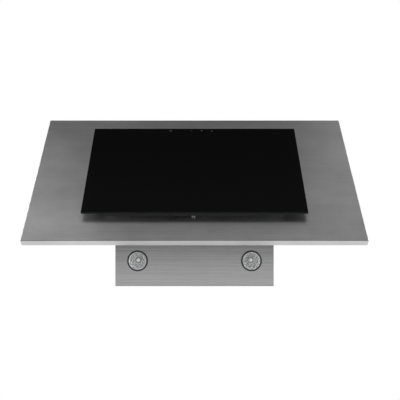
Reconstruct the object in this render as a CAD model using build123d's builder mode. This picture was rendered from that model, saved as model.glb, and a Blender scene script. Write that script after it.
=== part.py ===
from build123d import *
from math import cos, radians, sin
import os

# Wall-hung inclined range hood, in millimetres.
# X runs left to right, the wall is the plane Y = 0, the front is -Y and +Z is up.
# The origin is the centre of the two upper wall holes, on the back face of the back panel.
# Heights in the sizes below are measured up from the plate's lowest edge, depths out from the
# wall, and rises up the slope from the plate's lower edge.

# Steel sheet, seams, running clearances, and how far a cut runs past what it cuts
sheet = 1.0
seam = 0.3
pin_clearance = 0.05
slide_gap = 0.6
overshoot = 1.0
mount_rise = 290.0

# Sloping front plate
plate_width = 900.0
plate_length = 500.0
plate_depth = 18.0
plate_tilt = 45.0
plate_foot = 120.0
plate_return = 12.0
plate_corner = 2.0
plate_fold = 1.8
stiffener_place = 330.0
stiffener_width = 40.0
stiffener_foot = 8.0

# Body behind the plate
body_width = 413.0
body_depth = 330.0
body_top = 330.0
body_flange = 12.0
lamp_recess = 20.0
wall_hole_radius = 4.2
wall_hole_spacing = 340.0
lower_hole_drop = 230.0
top_screw_inset = 40.0

# Suction opening and the frame behind it
opening_width = 396.0
opening_low = 93.0
opening_length = 207.0
opening_corner = 12.0
frame_foot = 8.0
ledge_width = 6.0
slope_screw_inset = 45.0

# Grease filter
filter_clearance = 1.5
filter_depth = 10.0
filter_inset = 2.0
filter_rim = 9.0
net_thickness = 1.0
net_gap = 20.0
net_rib = 4.0
tab_width = 20.0
tab_reach = 2.5
tab_place = 100.0

# Latch in the lower rim of the filter
latch_width = 50.0
latch_height = 16.0
latch_thickness = 2.0
latch_travel = 5.0
latch_wall = 3.0
bolt_width = 24.0
bolt_reach = 4.0
grip_width = 40.0
grip_height = 3.0
spring_room = 6.0
spring_wire = 0.4
spring_radius = 2.4
spring_turns = 6

# Glass panel
glass_width = 603.0
glass_length = 352.0
glass_low = 81.0
glass_thickness = 5.0
glass_edge = 0.8
glass_corner = 2.0
panel_standoff = 20.5
tray_width = 480.0
tray_depth = 8.0
tray_top_margin = 2.0
tray_flange = 8.0
touch_width = 160.0
touch_height = 20.0
touch_depth = 5.0
touch_place = -12.0
touch_wall = 1.2
board_thickness = 1.6
bumper_radius = 7.0
bumper_place = 220.0
bumper_rise = 40.0

# Panel hinge
hinge_place = 200.0
hinge_drop = 4.0
hinge_standoff = 4.5
hinge_pin_radius = 1.5
hinge_pin_head = 2.2
hinge_pin_head_height = 1.2
hinge_ear_radius = 2.8
hinge_ear_thickness = 1.5
hinge_lug_width = 12.0
hinge_lug_radius = 2.8
hinge_side_gap = 0.5
hinge_base_length = 36.0
hinge_base_thickness = 1.2
hinge_arm_thickness = 1.5
hinge_first_screw = 14.0
hinge_screw_pitch = 10.0

# Spring clip at the panel's lower edge
clip_place = -3.0
clip_rise = 4.0
prong_width = 3.0
prong_pitch = 5.3
prong_thickness = 1.0
prong_reach = 5.0
clip_base_width = 14.0
clip_base_height = 6.0
clip_clearance = 1.0
socket_wall = 2.0
socket_depth = 7.0

# Lamps
lamp_spacing = 297.0
lamp_depth = 66.0
lamp_ring_radius = 27.2
lamp_sight_radius = 23.4
lamp_tube_radius = 25.4
lamp_tube_wall = 0.8
lamp_ring_thickness = 1.6
lamp_ring_edge = 0.7
lamp_tube_height = 12.0
lamp_radius = 24.2
lamp_lens_thickness = 1.2
reflector_height = 32.0
reflector_neck = 9.5
reflector_wall = 1.2
reflector_belly = 19.5
lamp_base_height = 12.0
capsule_radius = 4.5
capsule_length = 15.0
capsule_tip = 2.5
holder_radius = 14.0
holder_height = 18.0
contact_radius = 2.3
contact_height = 7.0
contact_spacing = 10.0
clamp_width = 8.0
clamp_reach = 13.0
clamp_rise = 11.0
clamp_thickness = 0.8
clamp_toe = 2.0

# Blower
wheel_radius = 62.0
wheel_half = 52.0
wheel_disc = 2.0
wheel_ring = 2.0
wheel_ring_width = 4.0
blade_count = 30
blade_thickness = 1.0
blade_length = 12.0
blade_circle = 56.0
blade_angle = 30.0
hub_radius = 10.0
hub_half = 11.0
scroll_half = 60.0
scroll_wall = 2.0
scroll_start = 70.0
scroll_growth = 7.0
tongue_shift = 10.0
blower_drop = 96.0
gasket_thickness = 2.0
outlet_flange = 10.0
inlet_radius = 50.0
inlet_throat = 47.0
inlet_flange = 56.0
inlet_depth = 4.0
inlet_thickness = 1.5

# Motor
shaft_radius = 4.0
shaft_tail = 2.0
motor_radius = 40.0
motor_start = 13.0
motor_end = 84.0
stack_start = 28.0
stack_end = 60.0
stator_bore = 26.0
rotor_gap = 0.5
rotor_overhang = 3.0
winding_length = 8.0
winding_radius = 36.0
cap_wall = 2.0
cap_flange = 46.0
bearing_radius = 8.0
bearing_width = 5.0
bearing_boss = 3.0
bracket_ring = 48.0
bracket_radius = 68.0
bracket_circle = 63.0
bracket_arm = 12.0
bracket_plate = 2.0
bracket_arms = 3
bracket_turn = 30.0
grommet_radius = 5.0
grommet_height = 4.0

# Outlet collar and its two flaps
duct_radius = 75.0
collar_height = 60.0
collar_base = 170.0
flap_gap = 1.6
flap_thickness = 1.2
flap_rise = 9.0
flap_edge = 4.0
flap_lip = 5.0
flap_pin_radius = 1.5
knuckle_radius = 3.0
knuckle_length = 28.0
knuckle_pitch = 30.0

# Telescopic chimney
chimney_width = 320.0
chimney_depth = 270.0
upper_height = 450.0
chimney_flange = 14.0
chimney_return = 15.0
chimney_screw_back = 54.0
chimney_screw_front = 202.0
chimney_screw_across = 80.0
bracket_height = 26.0
bracket_clear = 4.3
bracket_tab = 30.0
bracket_thickness = 2.0
bracket_hole_radius = 3.0
bracket_hole_spacing = 240.0

# Electrical parts
box_width = 100.0
box_height = 130.0
box_depth = 42.0
box_wall = 2.0
box_place = -140.0
box_rise = 140.0
board_gap = 3.0
standoff_radius = 3.0
standoff_height = 8.0
standoff_inset = 8.0
transformer_size = 30.0
transformer_depth = 16.0
transformer_place = -18.0
transformer_rise = 24.0
relay_width = 22.0
relay_height = 13.0
relay_depth = 12.0
relay_place = 22.0
relay_rise = -6.0
relay_pitch = 20.0
relay_count = 3
terminal_width = 40.0
terminal_height = 14.0
terminal_depth = 14.0
capacitor_radius = 15.0
capacitor_length = 60.0
capacitor_place = 130.0
capacitor_rise = 190.0
capacitor_edge = 1.0
band_width = 12.0
band_thickness = 1.2
band_foot = 56.0
gland_place = -120.0
gland_depth = 40.0
gland_radius = 8.0
gland_bore = 4.2
gland_flange = 11.0
gland_flange_height = 4.0
gland_dome_radius = 9.0
gland_dome = 16.0
gland_tail = 10.0
gland_edge = 2.0
nut_radius = 12.0
nut_height = 5.0
lead_radius = 2.5
lead_bend = 14.0
lead_turn = 28.0
lead_step = 4.0
lead_shift = 20.0

# Screws, all alike
screw_radius = 1.5
screw_length = 7.0
screw_head_radius = 3.0
screw_head_height = 2.0
screw_clearance = 0.1

# Places that follow from the sizes above
slope_sin = sin(radians(plate_tilt))
slope_cos = cos(radians(plate_tilt))
low = -mount_rise
outward = Axis((0, 0, 0), (0, -slope_sin, -slope_cos))
opening_high = opening_low + opening_length
opening_centre = opening_low + opening_length / 2
glass_high = glass_low + glass_length
glass_back = panel_standoff - glass_thickness
tray_back = glass_back - tray_depth
tray_high = glass_high - tray_top_margin
hinge_rise = glass_high - hinge_drop
clip_up = glass_low + clip_rise
chimney_centre = chimney_depth / 2
screw_hole = screw_radius + screw_clearance
screw_edge = screw_head_radius + seam
sides = (-1, 1)

os.makedirs("parts", exist_ok=True)


def keep(builder, name):
    """Label a finished piece and write it to its own file."""
    builder.part.label = name
    export_step(builder.part, f"parts/{name}.step")


def on_slope(x, up, out, facing=1):
    """A plane parallel to the plate at a place across, up the slope and out from the plate's face.

    Local X is X. It faces away from the plate with local Y up the slope, or into the plate where
    facing is -1, with local Y down the slope.
    """
    depth = plate_foot + up * slope_cos + out * slope_sin
    height = up * slope_sin - out * slope_cos
    z_dir = (0, -facing * slope_sin, -facing * slope_cos)
    return Plane(origin=(x, -depth, low + height), x_dir=(1, 0, 0), z_dir=z_dir)


def across(x, up, out):
    """A plane square to X at a place on the slope: local X is up the slope, local Y is outwards."""
    return Plane(origin=on_slope(x, up, out).origin, x_dir=(0, -slope_cos, slope_sin), z_dir=(1, 0, 0))


def level(height, x=0.0, depth=0.0):
    """A level plane that faces up: local X is X and local Y points to the wall."""
    return Plane(origin=(x, -depth, low + height), x_dir=(1, 0, 0), z_dir=(0, 0, 1))


def upright(depth, x=0.0, height=0.0):
    """A plane parallel to the wall that faces the room: local X is X and local Y is up."""
    return Plane(origin=(x, -depth, low + height), x_dir=(1, 0, 0), z_dir=(0, -1, 0))


def block(plane, width, height, thickness, corner=0.0, mode=Mode.ADD):
    """Add or cut a block that stands on a plane, centred on the plane's origin."""
    with BuildSketch(plane) as face:
        if corner > 0:
            RectangleRounded(width, height, corner)
        else:
            Rectangle(width, height)
    extrude(face.sketch, amount=thickness, mode=mode)


def frame(plane, outer, inner, thickness, corner=0.0, shift=0.0):
    """Add a rectangular frame that stands on a plane; shift moves its hole along local Y."""
    with BuildSketch(plane) as face:
        Rectangle(*outer)
        with Locations((0, shift)):
            if corner > 0:
                RectangleRounded(*inner, corner, mode=Mode.SUBTRACT)
            else:
                Rectangle(*inner, mode=Mode.SUBTRACT)
    extrude(face.sketch, amount=thickness)


def disc(plane, radius, thickness, bore=0.0, mode=Mode.ADD):
    """Add or cut a disc, or a ring where it has a bore, that stands on a plane."""
    with BuildSketch(plane) as face:
        Circle(radius)
        if bore > 0:
            Circle(bore, mode=Mode.SUBTRACT)
    extrude(face.sketch, amount=thickness, mode=mode)


def drill(places, radius, reach):
    """Cut a round hole at each place, reaching equally far to both sides of it."""
    for place in places:
        with BuildSketch(place) as hole:
            Circle(radius)
        extrude(hole.sketch, amount=reach, both=True, mode=Mode.SUBTRACT)


def screw_group(places):
    """Pan-head screws, each with its head standing on its place."""
    with BuildPart() as group:
        for place in places:
            disc(place, screw_head_radius, screw_head_height)
            disc(place, screw_radius, -screw_length)
    return group


def lead(points):
    """A round lead along straight runs joined by arcs."""
    with BuildPart() as cable:
        with BuildLine() as route:
            FilletPolyline(*points, radius=lead_bend)
        with BuildSketch(Plane(origin=route.line @ 0, z_dir=route.line % 0)):
            Circle(lead_radius)
        sweep(path=route.line)
    return cable.part


# Front plate: one sheet folded back round its four edges, with the suction opening cut in it
plate_centre = plate_length / 2
hinge_screws = [
    on_slope(side * hinge_place, hinge_rise - hinge_first_screw - row * hinge_screw_pitch,
             hinge_base_thickness)
    for side in sides
    for row in range(2)
]
slot_width = prong_pitch + prong_width + 2 * clip_clearance
slot_height = prong_thickness + 2 * clip_clearance

with BuildPart() as front_plate:
    block(on_slope(0, plate_centre, -plate_depth), plate_width, plate_length, plate_depth, plate_corner)
    fillet(front_plate.faces().sort_by(outward)[-1].edges(), radius=plate_fold)
    hollow_width = plate_width - 2 * sheet
    hollow_length = plate_length - 2 * sheet
    block(on_slope(0, plate_centre, -plate_depth), hollow_width, hollow_length, plate_depth - sheet,
          mode=Mode.SUBTRACT)
    frame(on_slope(0, plate_centre, -plate_depth), (hollow_width, hollow_length),
          (hollow_width - 2 * plate_return, hollow_length - 2 * plate_return), sheet)
    block(on_slope(0, opening_centre, -sheet), opening_width, opening_length, sheet, opening_corner,
          mode=Mode.SUBTRACT)
    block(on_slope(clip_place, clip_up, -sheet), slot_width, slot_height, sheet, mode=Mode.SUBTRACT)
    drill(hinge_screws, screw_hole, hinge_base_thickness + 2 * sheet)
keep(front_plate, "front_plate")

# Hat-shaped stiffeners glued to the back of the plate, one beyond each side of the body
stiffener_length = plate_length - 2 * (sheet + plate_return + seam)
stiffener_rise = plate_depth - 2 * sheet

with BuildPart() as plate_stiffeners:
    for side in sides:
        base = on_slope(side * stiffener_place, plate_centre, -sheet, facing=-1)
        block(base, stiffener_width, stiffener_length, stiffener_rise)
        block(base, stiffener_width - 2 * sheet, stiffener_length, stiffener_rise - sheet,
              mode=Mode.SUBTRACT)
        frame(base, (stiffener_width + 2 * stiffener_foot, stiffener_length),
              (stiffener_width - 2 * sheet, stiffener_length + overshoot), sheet)
keep(plate_stiffeners, "plate_stiffeners")

# Suction frame: a channel frame behind the opening that carries the filter and takes the body's screws
frame_low = sheet + plate_return + seam
frame_high = (body_depth - plate_foot + plate_depth * slope_sin) / slope_cos
frame_centre = (frame_low + frame_high) / 2
frame_length = frame_high - frame_low
ledge_place = -(filter_inset + filter_depth + seam + sheet)
latch_front = -filter_inset - filter_depth + net_thickness + latch_thickness + seam
bolt_slot = latch_thickness + 2 * seam
casing_screws_slope = [
    on_slope(side * (body_width / 2 - sheet - screw_edge), up, -plate_depth - sheet, facing=-1)
    for side in sides
    for up in (frame_low + slope_screw_inset, frame_centre, frame_high - slope_screw_inset)
]

with BuildPart() as suction_frame:
    frame(on_slope(0, frame_centre, -plate_depth), (body_width, frame_length),
          (opening_width, opening_length), sheet, opening_corner, opening_centre - frame_centre)
    frame(on_slope(0, frame_centre, -plate_depth), (body_width, frame_length),
          (body_width - 2 * sheet, frame_length - 2 * sheet), plate_depth - sheet)
    frame(on_slope(0, frame_centre, -2 * sheet),
          (body_width + 2 * frame_foot, frame_length + 2 * frame_foot),
          (body_width - 2 * sheet, frame_length - 2 * sheet), sheet)
    block(on_slope(0, opening_centre, -plate_depth), opening_width + 2 * sheet, opening_length + 2 * sheet,
          plate_depth - sheet, opening_corner + sheet)
    block(on_slope(0, opening_centre, -plate_depth), opening_width, opening_length, plate_depth,
          opening_corner, mode=Mode.SUBTRACT)
    frame(on_slope(0, opening_centre, ledge_place), (opening_width + sheet, opening_length + sheet),
          (opening_width - 2 * ledge_width, opening_length - 2 * ledge_width), sheet,
          opening_corner - ledge_width)
    block(on_slope(0, opening_low - sheet, latch_front - latch_thickness - seam), bolt_width + 2 * seam,
          2 * sheet + overshoot, bolt_slot, mode=Mode.SUBTRACT)
    for side in sides:
        block(on_slope(side * tab_place, opening_high + sheet / 2, -filter_inset - filter_depth - seam),
              tab_width + 2 * overshoot, 2 * sheet, net_thickness + 2 * seam, mode=Mode.SUBTRACT)
    drill(casing_screws_slope, screw_hole, 2 * sheet + seam)
keep(suction_frame, "suction_frame")


# Body: one wrapper of sheet with folded flanges at its open back, top and sloping face
def body_outline(inset):
    """Side view of the body, moved inwards by inset: back, bottom, sloping face, front and top."""
    back = sheet + inset
    bottom = lamp_recess + inset
    front = body_depth - inset
    top = body_top - sheet - inset
    face = -plate_depth - inset
    bottom_up = (bottom + face * slope_cos) / slope_sin
    bottom_depth = plate_foot + bottom_up * slope_cos + face * slope_sin
    front_up = (front - plate_foot - face * slope_sin) / slope_cos
    front_height = front_up * slope_sin - face * slope_cos
    return [
        (-back, low + bottom),
        (-bottom_depth, low + bottom),
        (-front, low + front_height),
        (-front, low + top),
        (-back, low + top),
    ]


lamp_places = [(side * lamp_spacing / 2, lamp_depth) for side in sides]
window_width = body_width - 2 * body_flange
window_low = (lamp_recess - plate_depth * slope_cos) / slope_sin + body_flange
window_high = frame_high - body_flange
body_middle = (lamp_recess + body_top - sheet) / 2
body_back_height = body_top - sheet - lamp_recess
top_screws = [
    level(body_top, side * (body_width / 2 - sheet - screw_edge), depth)
    for side in sides
    for depth in (top_screw_inset, body_depth / 2, body_depth - top_screw_inset)
]

with BuildPart() as body_shell:
    with BuildSketch(Plane.YZ):
        with BuildLine():
            Polyline(*body_outline(0.0), close=True)
        make_face()
    extrude(amount=body_width / 2, both=True)
    with BuildSketch(Plane.YZ):
        with BuildLine():
            Polyline(*body_outline(sheet), close=True)
        make_face()
    extrude(amount=body_width / 2 - sheet, both=True, mode=Mode.SUBTRACT)
    block(on_slope(0, (window_low + window_high) / 2, -plate_depth - 2 * sheet), window_width,
          window_high - window_low, 3 * sheet, mode=Mode.SUBTRACT)
    block(upright(0, 0, body_middle), window_width, body_back_height - 2 * body_flange, 3 * sheet,
          mode=Mode.SUBTRACT)
    block(level(body_top - 3 * sheet, 0, body_depth / 2), window_width, body_depth - 2 * body_flange,
          3 * sheet, mode=Mode.SUBTRACT)
    for x, depth in lamp_places:
        disc(level(lamp_recess - sheet, x, depth), lamp_tube_radius + seam, 3 * sheet, mode=Mode.SUBTRACT)
    drill(casing_screws_slope, screw_hole, 2 * sheet + seam)
    drill(top_screws, screw_hole, 3 * sheet)
keep(body_shell, "body_shell")

# Back panel: the flat sheet against the wall, spot-welded to the body's back flanges
upper_holes = [upright(0, side * wall_hole_spacing / 2, mount_rise) for side in sides]
lower_holes = [upright(0, side * wall_hole_spacing / 2, mount_rise - lower_hole_drop) for side in sides]

with BuildPart() as back_panel:
    block(upright(0, 0, body_middle), body_width, body_back_height, sheet)
    drill(upper_holes + lower_holes, wall_hole_radius, 2 * sheet)
keep(back_panel, "back_panel")

# Places of the blower: its outlet comes up in the middle of the chimney
scroll_end = scroll_start + 3 * scroll_growth
outlet_back = scroll_growth + scroll_end
outlet_middle = (tongue_shift + outlet_back) / 2
outlet_length = outlet_back - tongue_shift
outlet_width = 2 * (scroll_half - scroll_wall)
blower_depth = chimney_centre + outlet_middle
blower_height = body_top - blower_drop
outlet_rise = blower_drop - sheet - gasket_thickness
flange_width = 2 * (scroll_half + outlet_flange)
flange_length = outlet_length + 2 * (scroll_wall + outlet_flange)
outlet_screws = [
    level(body_top + sheet, across_side * (flange_width - outlet_flange) / 2,
          chimney_centre + depth_side * (flange_length - outlet_flange) / 2)
    for across_side in sides
    for depth_side in sides
]

# Top panel: carries the chimney, the outlet collar, the blower and the cable gland
foot_inset = 2 * sheet + chimney_flange / 2
chimney_screws = [
    level(body_top + sheet, side * (chimney_width / 2 - foot_inset), depth)
    for side in sides
    for depth in (chimney_screw_back, chimney_screw_front)
] + [level(body_top + sheet, side * chimney_screw_across, chimney_depth - foot_inset) for side in sides]
gland_seat = level(body_top, gland_place, gland_depth)

with BuildPart() as top_panel:
    block(level(body_top - sheet, 0, body_depth / 2), body_width, body_depth, sheet)
    block(level(body_top - sheet, 0, chimney_centre), outlet_width, outlet_length, sheet,
          mode=Mode.SUBTRACT)
    drill(top_screws, screw_hole, 2 * sheet)
    drill(outlet_screws + chimney_screws, screw_hole, 3 * sheet)
    drill([gland_seat], gland_radius + seam, 2 * sheet)
keep(top_panel, "top_panel")

# Rubber gasket between the blower's flange and the top panel
with BuildPart() as blower_gasket:
    frame(level(body_top - sheet - gasket_thickness, 0, chimney_centre), (flange_width, flange_length),
          (outlet_width, outlet_length), gasket_thickness)
    drill(outlet_screws, screw_hole, 2 * sheet + 2 * gasket_thickness)
keep(blower_gasket, "blower_gasket")

# Outlet collar: the spigot that the duct slides over, with a lip that the flaps rest on
collar_bore = duct_radius - sheet
pin_height = body_top + flap_rise + seam + flap_thickness / 2
pin_plane = Plane(origin=(0, -chimney_centre, low + pin_height), x_dir=(1, 0, 0), z_dir=(0, -1, 0))

with BuildPart() as outlet_collar:
    block(level(body_top, 0, chimney_centre), collar_base, collar_base, sheet)
    disc(level(body_top, 0, chimney_centre), duct_radius, collar_height)
    disc(level(body_top, 0, chimney_centre), collar_bore, collar_height, mode=Mode.SUBTRACT)
    disc(level(body_top + flap_rise - sheet, 0, chimney_centre), duct_radius - sheet / 2, sheet,
         bore=collar_bore - flap_lip)
    block(level(body_top + flap_rise - sheet, 0, chimney_centre), 2 * (knuckle_radius + sheet),
          2 * collar_bore, sheet, mode=Mode.SUBTRACT)
    drill([pin_plane], flap_pin_radius + pin_clearance, duct_radius + sheet)
    drill(outlet_screws, screw_hole, 2 * sheet)
keep(outlet_collar, "outlet_collar")

# Pin across the collar that both flaps hang on
with BuildPart() as damper_pin:
    disc(pin_plane, flap_pin_radius, duct_radius - seam)
    disc(pin_plane, flap_pin_radius, -(duct_radius - seam))
keep(damper_pin, "damper_pin")


# Two half-round flaps that the airflow lifts and that fall shut by their own weight
def damper_flap(side):
    """One flap: a half disc with two knuckles round the pin, between the other flap's knuckles."""
    flap_radius = collar_bore - flap_gap
    knuckles = [side * 1.5 * knuckle_pitch, -side * 0.5 * knuckle_pitch]
    with BuildPart() as flap:
        with BuildSketch(level(pin_height - flap_thickness / 2, 0, chimney_centre)) as half:
            Circle(flap_radius)
            with Locations((side * (flap_edge + flap_radius / 2), 0)):
                Rectangle(flap_radius, 2 * flap_radius, mode=Mode.INTERSECT)
        extrude(half.sketch, amount=flap_thickness)
        for place in knuckles:
            tongue = level(pin_height - flap_thickness / 2, side * (flap_edge + overshoot) / 2,
                           chimney_centre - place)
            block(tongue, flap_edge + overshoot, knuckle_length, flap_thickness)
            disc(pin_plane.offset(-place - knuckle_length / 2), knuckle_radius, knuckle_length)
        drill([pin_plane], flap_pin_radius + pin_clearance, duct_radius)
    return flap


keep(damper_flap(-1), "damper_flap_left")
keep(damper_flap(1), "damper_flap_right")


# Blower housing in two halves that meet in the middle
def on_blower(x, facing=1):
    """A plane square to the blower's shaft: local X points to the wall where it faces right, local Y is up."""
    return Plane(origin=(x, -blower_depth, low + blower_height), x_dir=(0, facing, 0), z_dir=(facing, 0, 0))


def volute(extra, top):
    """The scroll in side view: three quarter circles, each one step larger, and a straight outlet.

    extra moves the outline outwards, and top is the height of the outlet's end over the shaft.
    """
    first = scroll_start + scroll_growth + extra
    second = first + scroll_growth
    third = second + scroll_growth
    with BuildSketch(on_blower(0)) as face:
        with BuildLine():
            CenterArc((0, -scroll_growth), first, 90, 90)
            CenterArc((scroll_growth, -scroll_growth), second, 180, 90)
            CenterArc((scroll_growth, 0), third, 270, 90)
            Polyline(
                (scroll_growth + third, 0),
                (scroll_growth + third, top),
                (tongue_shift - extra, top),
                (tongue_shift - extra, scroll_start + extra),
                (0, scroll_start + extra),
            )
        make_face()
    return face.sketch


bracket_face = scroll_half + grommet_height + bracket_plate
bracket_angles = [bracket_turn + 360 / bracket_arms * arm for arm in range(bracket_arms)]
motor_screws = [
    Plane(origin=on_blower(bracket_face).from_local_coords(
        Vector(bracket_circle * cos(radians(angle)), bracket_circle * sin(radians(angle)), 0)),
        x_dir=(0, 1, 0), z_dir=(1, 0, 0))
    for angle in bracket_angles
]


def scroll_side(side):
    """One half of the housing: side wall with its inlet hole, scroll wall and half of the outlet flange."""
    with BuildPart() as half:
        extrude(volute(scroll_wall, outlet_rise), amount=side * scroll_half)
        block(level(blower_height + outlet_rise - scroll_wall, side * flange_width / 4, chimney_centre),
              flange_width / 2, flange_length, scroll_wall)
        extrude(volute(0, outlet_rise + overshoot), amount=side * (scroll_half - scroll_wall),
                mode=Mode.SUBTRACT)
        disc(on_blower(side * scroll_half, -side), inlet_radius, scroll_wall, mode=Mode.SUBTRACT)
        drill(outlet_screws, screw_hole, screw_length + overshoot)
        if side > 0:
            drill(motor_screws, screw_hole, screw_length)
    return half


keep(scroll_side(-1), "scroll_left")
keep(scroll_side(1), "scroll_right")

# Bell-mouth rings in the two inlets
with BuildPart() as inlet_rings:
    for side in sides:
        disc(on_blower(side * scroll_half, side), inlet_flange, inlet_thickness, bore=inlet_throat)
        disc(on_blower(side * (scroll_half - inlet_depth), side), inlet_radius - seam, inlet_depth,
             bore=inlet_throat)
keep(inlet_rings, "inlet_rings")

# Double-inlet wheel: a centre disc with its hub, two rows of blades and their end rings
with BuildPart() as impeller:
    disc(on_blower(-wheel_disc / 2), wheel_radius, wheel_disc)
    disc(on_blower(-hub_half), hub_radius, 2 * hub_half)
    for side in sides:
        with BuildSketch(on_blower(0, side)):
            with PolarLocations(blade_circle, blade_count):
                Rectangle(blade_length, blade_thickness, rotation=blade_angle)
        extrude(amount=wheel_half)
        disc(on_blower(side * (wheel_half - wheel_ring), side), wheel_radius, wheel_ring,
             bore=wheel_radius - wheel_ring_width)
    disc(on_blower(-hub_half), shaft_radius + pin_clearance, 2 * hub_half, mode=Mode.SUBTRACT)
keep(impeller, "impeller")

# Motor: its case reaches through the right inlet into the wheel
with BuildPart() as motor_shaft:
    disc(on_blower(-hub_half - shaft_tail), shaft_radius, hub_half + shaft_tail + motor_end)
keep(motor_shaft, "motor_shaft")

with BuildPart() as motor_rotor:
    disc(on_blower(stack_start - rotor_overhang), stator_bore - rotor_gap,
         stack_end - stack_start + 2 * rotor_overhang, bore=shaft_radius + pin_clearance)
keep(motor_rotor, "motor_rotor")

with BuildPart() as motor_stator:
    disc(on_blower(stack_start), motor_radius, stack_end - stack_start, bore=stator_bore)
keep(motor_stator, "motor_stator")

with BuildPart() as motor_windings:
    disc(on_blower(stack_start - winding_length), winding_radius, winding_length,
         bore=stator_bore + cap_wall / 2)
    disc(on_blower(stack_end), winding_radius, winding_length, bore=stator_bore + cap_wall / 2)
keep(motor_windings, "motor_windings")

# Two end caps with the bearings in their bosses; the outer cap's flange sits on the bracket
with BuildPart() as motor_caps:
    for start, end, facing in ((motor_start, stack_start, 1), (motor_end, stack_end, -1)):
        depth = abs(end - start)
        disc(on_blower(start, facing), motor_radius, depth, bore=motor_radius - cap_wall)
        disc(on_blower(start, facing), motor_radius, cap_wall, bore=shaft_radius + seam)
        disc(on_blower(start, facing), bearing_radius + bearing_boss, cap_wall + bearing_width,
             bore=bearing_radius + pin_clearance)
        disc(on_blower(start, facing), bearing_radius + bearing_boss / 2, cap_wall,
             bore=shaft_radius + seam)
    disc(on_blower(bracket_face), cap_flange, cap_wall, bore=motor_radius - cap_wall / 2)
keep(motor_caps, "motor_caps")

with BuildPart() as motor_bearings:
    for start, facing in ((motor_start, 1), (motor_end, -1)):
        disc(on_blower(start + facing * cap_wall, facing), bearing_radius, bearing_width,
             bore=shaft_radius + pin_clearance)
keep(motor_bearings, "motor_bearings")

# Three-armed bracket that holds the motor off the housing on rubber bushes
with BuildPart() as motor_bracket:
    with BuildSketch(on_blower(bracket_face - bracket_plate)):
        Circle(bracket_ring)
        with PolarLocations((bracket_ring + bracket_radius - overshoot) / 2, bracket_arms,
                            start_angle=bracket_turn):
            Rectangle(bracket_radius - bracket_ring + overshoot, bracket_arm)
        Circle(motor_radius + seam, mode=Mode.SUBTRACT)
    extrude(amount=bracket_plate)
    drill(motor_screws, screw_hole, 2 * bracket_plate)
keep(motor_bracket, "motor_bracket")

with BuildPart() as motor_bushes:
    for place in motor_screws:
        disc(place.offset(-bracket_plate - grommet_height), grommet_radius, grommet_height, bore=screw_hole)
keep(motor_bushes, "motor_bushes")

# Run capacitor held to the back panel by a sheet band
capacitor_depth = sheet + band_thickness + seam + capacitor_radius
band_height = capacitor_rise + (capacitor_length - band_width) / 2

with BuildPart() as capacitor:
    disc(level(capacitor_rise, capacitor_place, capacitor_depth), capacitor_radius, capacitor_length)
    fillet(capacitor.edges().filter_by(GeomType.CIRCLE), radius=capacitor_edge)
keep(capacitor, "capacitor")

with BuildPart() as capacitor_band:
    disc(level(band_height, capacitor_place, capacitor_depth), capacitor_radius + seam + band_thickness,
         band_width)
    block(upright(sheet, capacitor_place, band_height + band_width / 2), band_foot, band_width,
          band_thickness)
    disc(level(band_height, capacitor_place, capacitor_depth), capacitor_radius + seam / 2, band_width,
         mode=Mode.SUBTRACT)
keep(capacitor_band, "capacitor_band")

# Control box with its board on four standoffs, a terminal block and a lid
box_centre = box_rise + box_height / 2
board_depth = sheet + box_wall + standoff_height
board_width = box_width - 2 * (box_wall + board_gap)
board_height = box_height - 2 * (box_wall + board_gap)

with BuildPart() as control_box:
    block(upright(sheet, box_place, box_centre), box_width, box_height, box_depth)
    block(upright(sheet + box_wall, box_place, box_centre), box_width - 2 * box_wall,
          box_height - 2 * box_wall, box_depth, mode=Mode.SUBTRACT)
    for side in sides:
        for end in sides:
            disc(upright(sheet + box_wall, box_place + side * (board_width / 2 - standoff_inset),
                         box_centre + end * (board_height / 2 - standoff_inset)),
                 standoff_radius, standoff_height)
keep(control_box, "control_box")

with BuildPart() as control_lid:
    block(upright(sheet + box_depth, box_place, box_centre), box_width, box_height, box_wall)
keep(control_lid, "control_lid")

board_face = board_depth + board_thickness
with BuildPart() as control_board:
    block(upright(board_depth, box_place, box_centre), board_width, board_height, board_thickness)
    block(upright(board_face, box_place + transformer_place, box_centre + transformer_rise),
          transformer_size, transformer_size, transformer_depth)
    for row in range(relay_count):
        block(upright(board_face, box_place + relay_place, box_centre + relay_rise + row * relay_pitch),
              relay_width, relay_height, relay_depth)
keep(control_board, "control_board")

with BuildPart() as terminal_block:
    block(upright(board_face, box_place, box_centre - board_height / 2 + terminal_height), terminal_width,
          terminal_height, terminal_depth)
keep(terminal_block, "terminal_block")

# Cable gland in the top panel, where the supply cord would enter, with its nut below
with BuildPart() as cable_gland:
    disc(gland_seat, gland_flange, gland_flange_height)
    disc(gland_seat, gland_dome_radius, gland_dome)
    fillet(cable_gland.faces().sort_by(Axis.Z)[-1].edges(), radius=gland_edge)
    disc(gland_seat, gland_radius, -gland_tail)
    with BuildSketch(gland_seat.offset(-sheet - nut_height)):
        RegularPolygon(nut_radius, 6)
        Circle(gland_radius + pin_clearance, mode=Mode.SUBTRACT)
    extrude(amount=nut_height)
    disc(gland_seat.offset(-gland_tail), gland_bore, gland_tail + gland_dome, mode=Mode.SUBTRACT)
keep(cable_gland, "cable_gland")

# Grease filter: a rim of U-channel round two nets with a pad between them
filter_width = opening_width - 2 * filter_clearance
filter_length = opening_length - 2 * filter_clearance
filter_low = opening_low + filter_clearance
filter_back = -filter_inset - filter_depth
filter_corner = opening_corner - filter_clearance
housing_height = latch_height + latch_travel + spring_room + 2 * latch_wall + 2 * seam
housing_width = latch_width + 2 * latch_wall + 2 * seam
housing_centre = filter_low + housing_height / 2
pocket_low = filter_low + latch_wall
pocket_high = filter_low + housing_height - latch_wall
tab_length = filter_clearance + tab_reach
net_width = filter_width - 2 * sheet - 2 * seam
net_length = filter_length - 2 * sheet - 2 * seam

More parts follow.
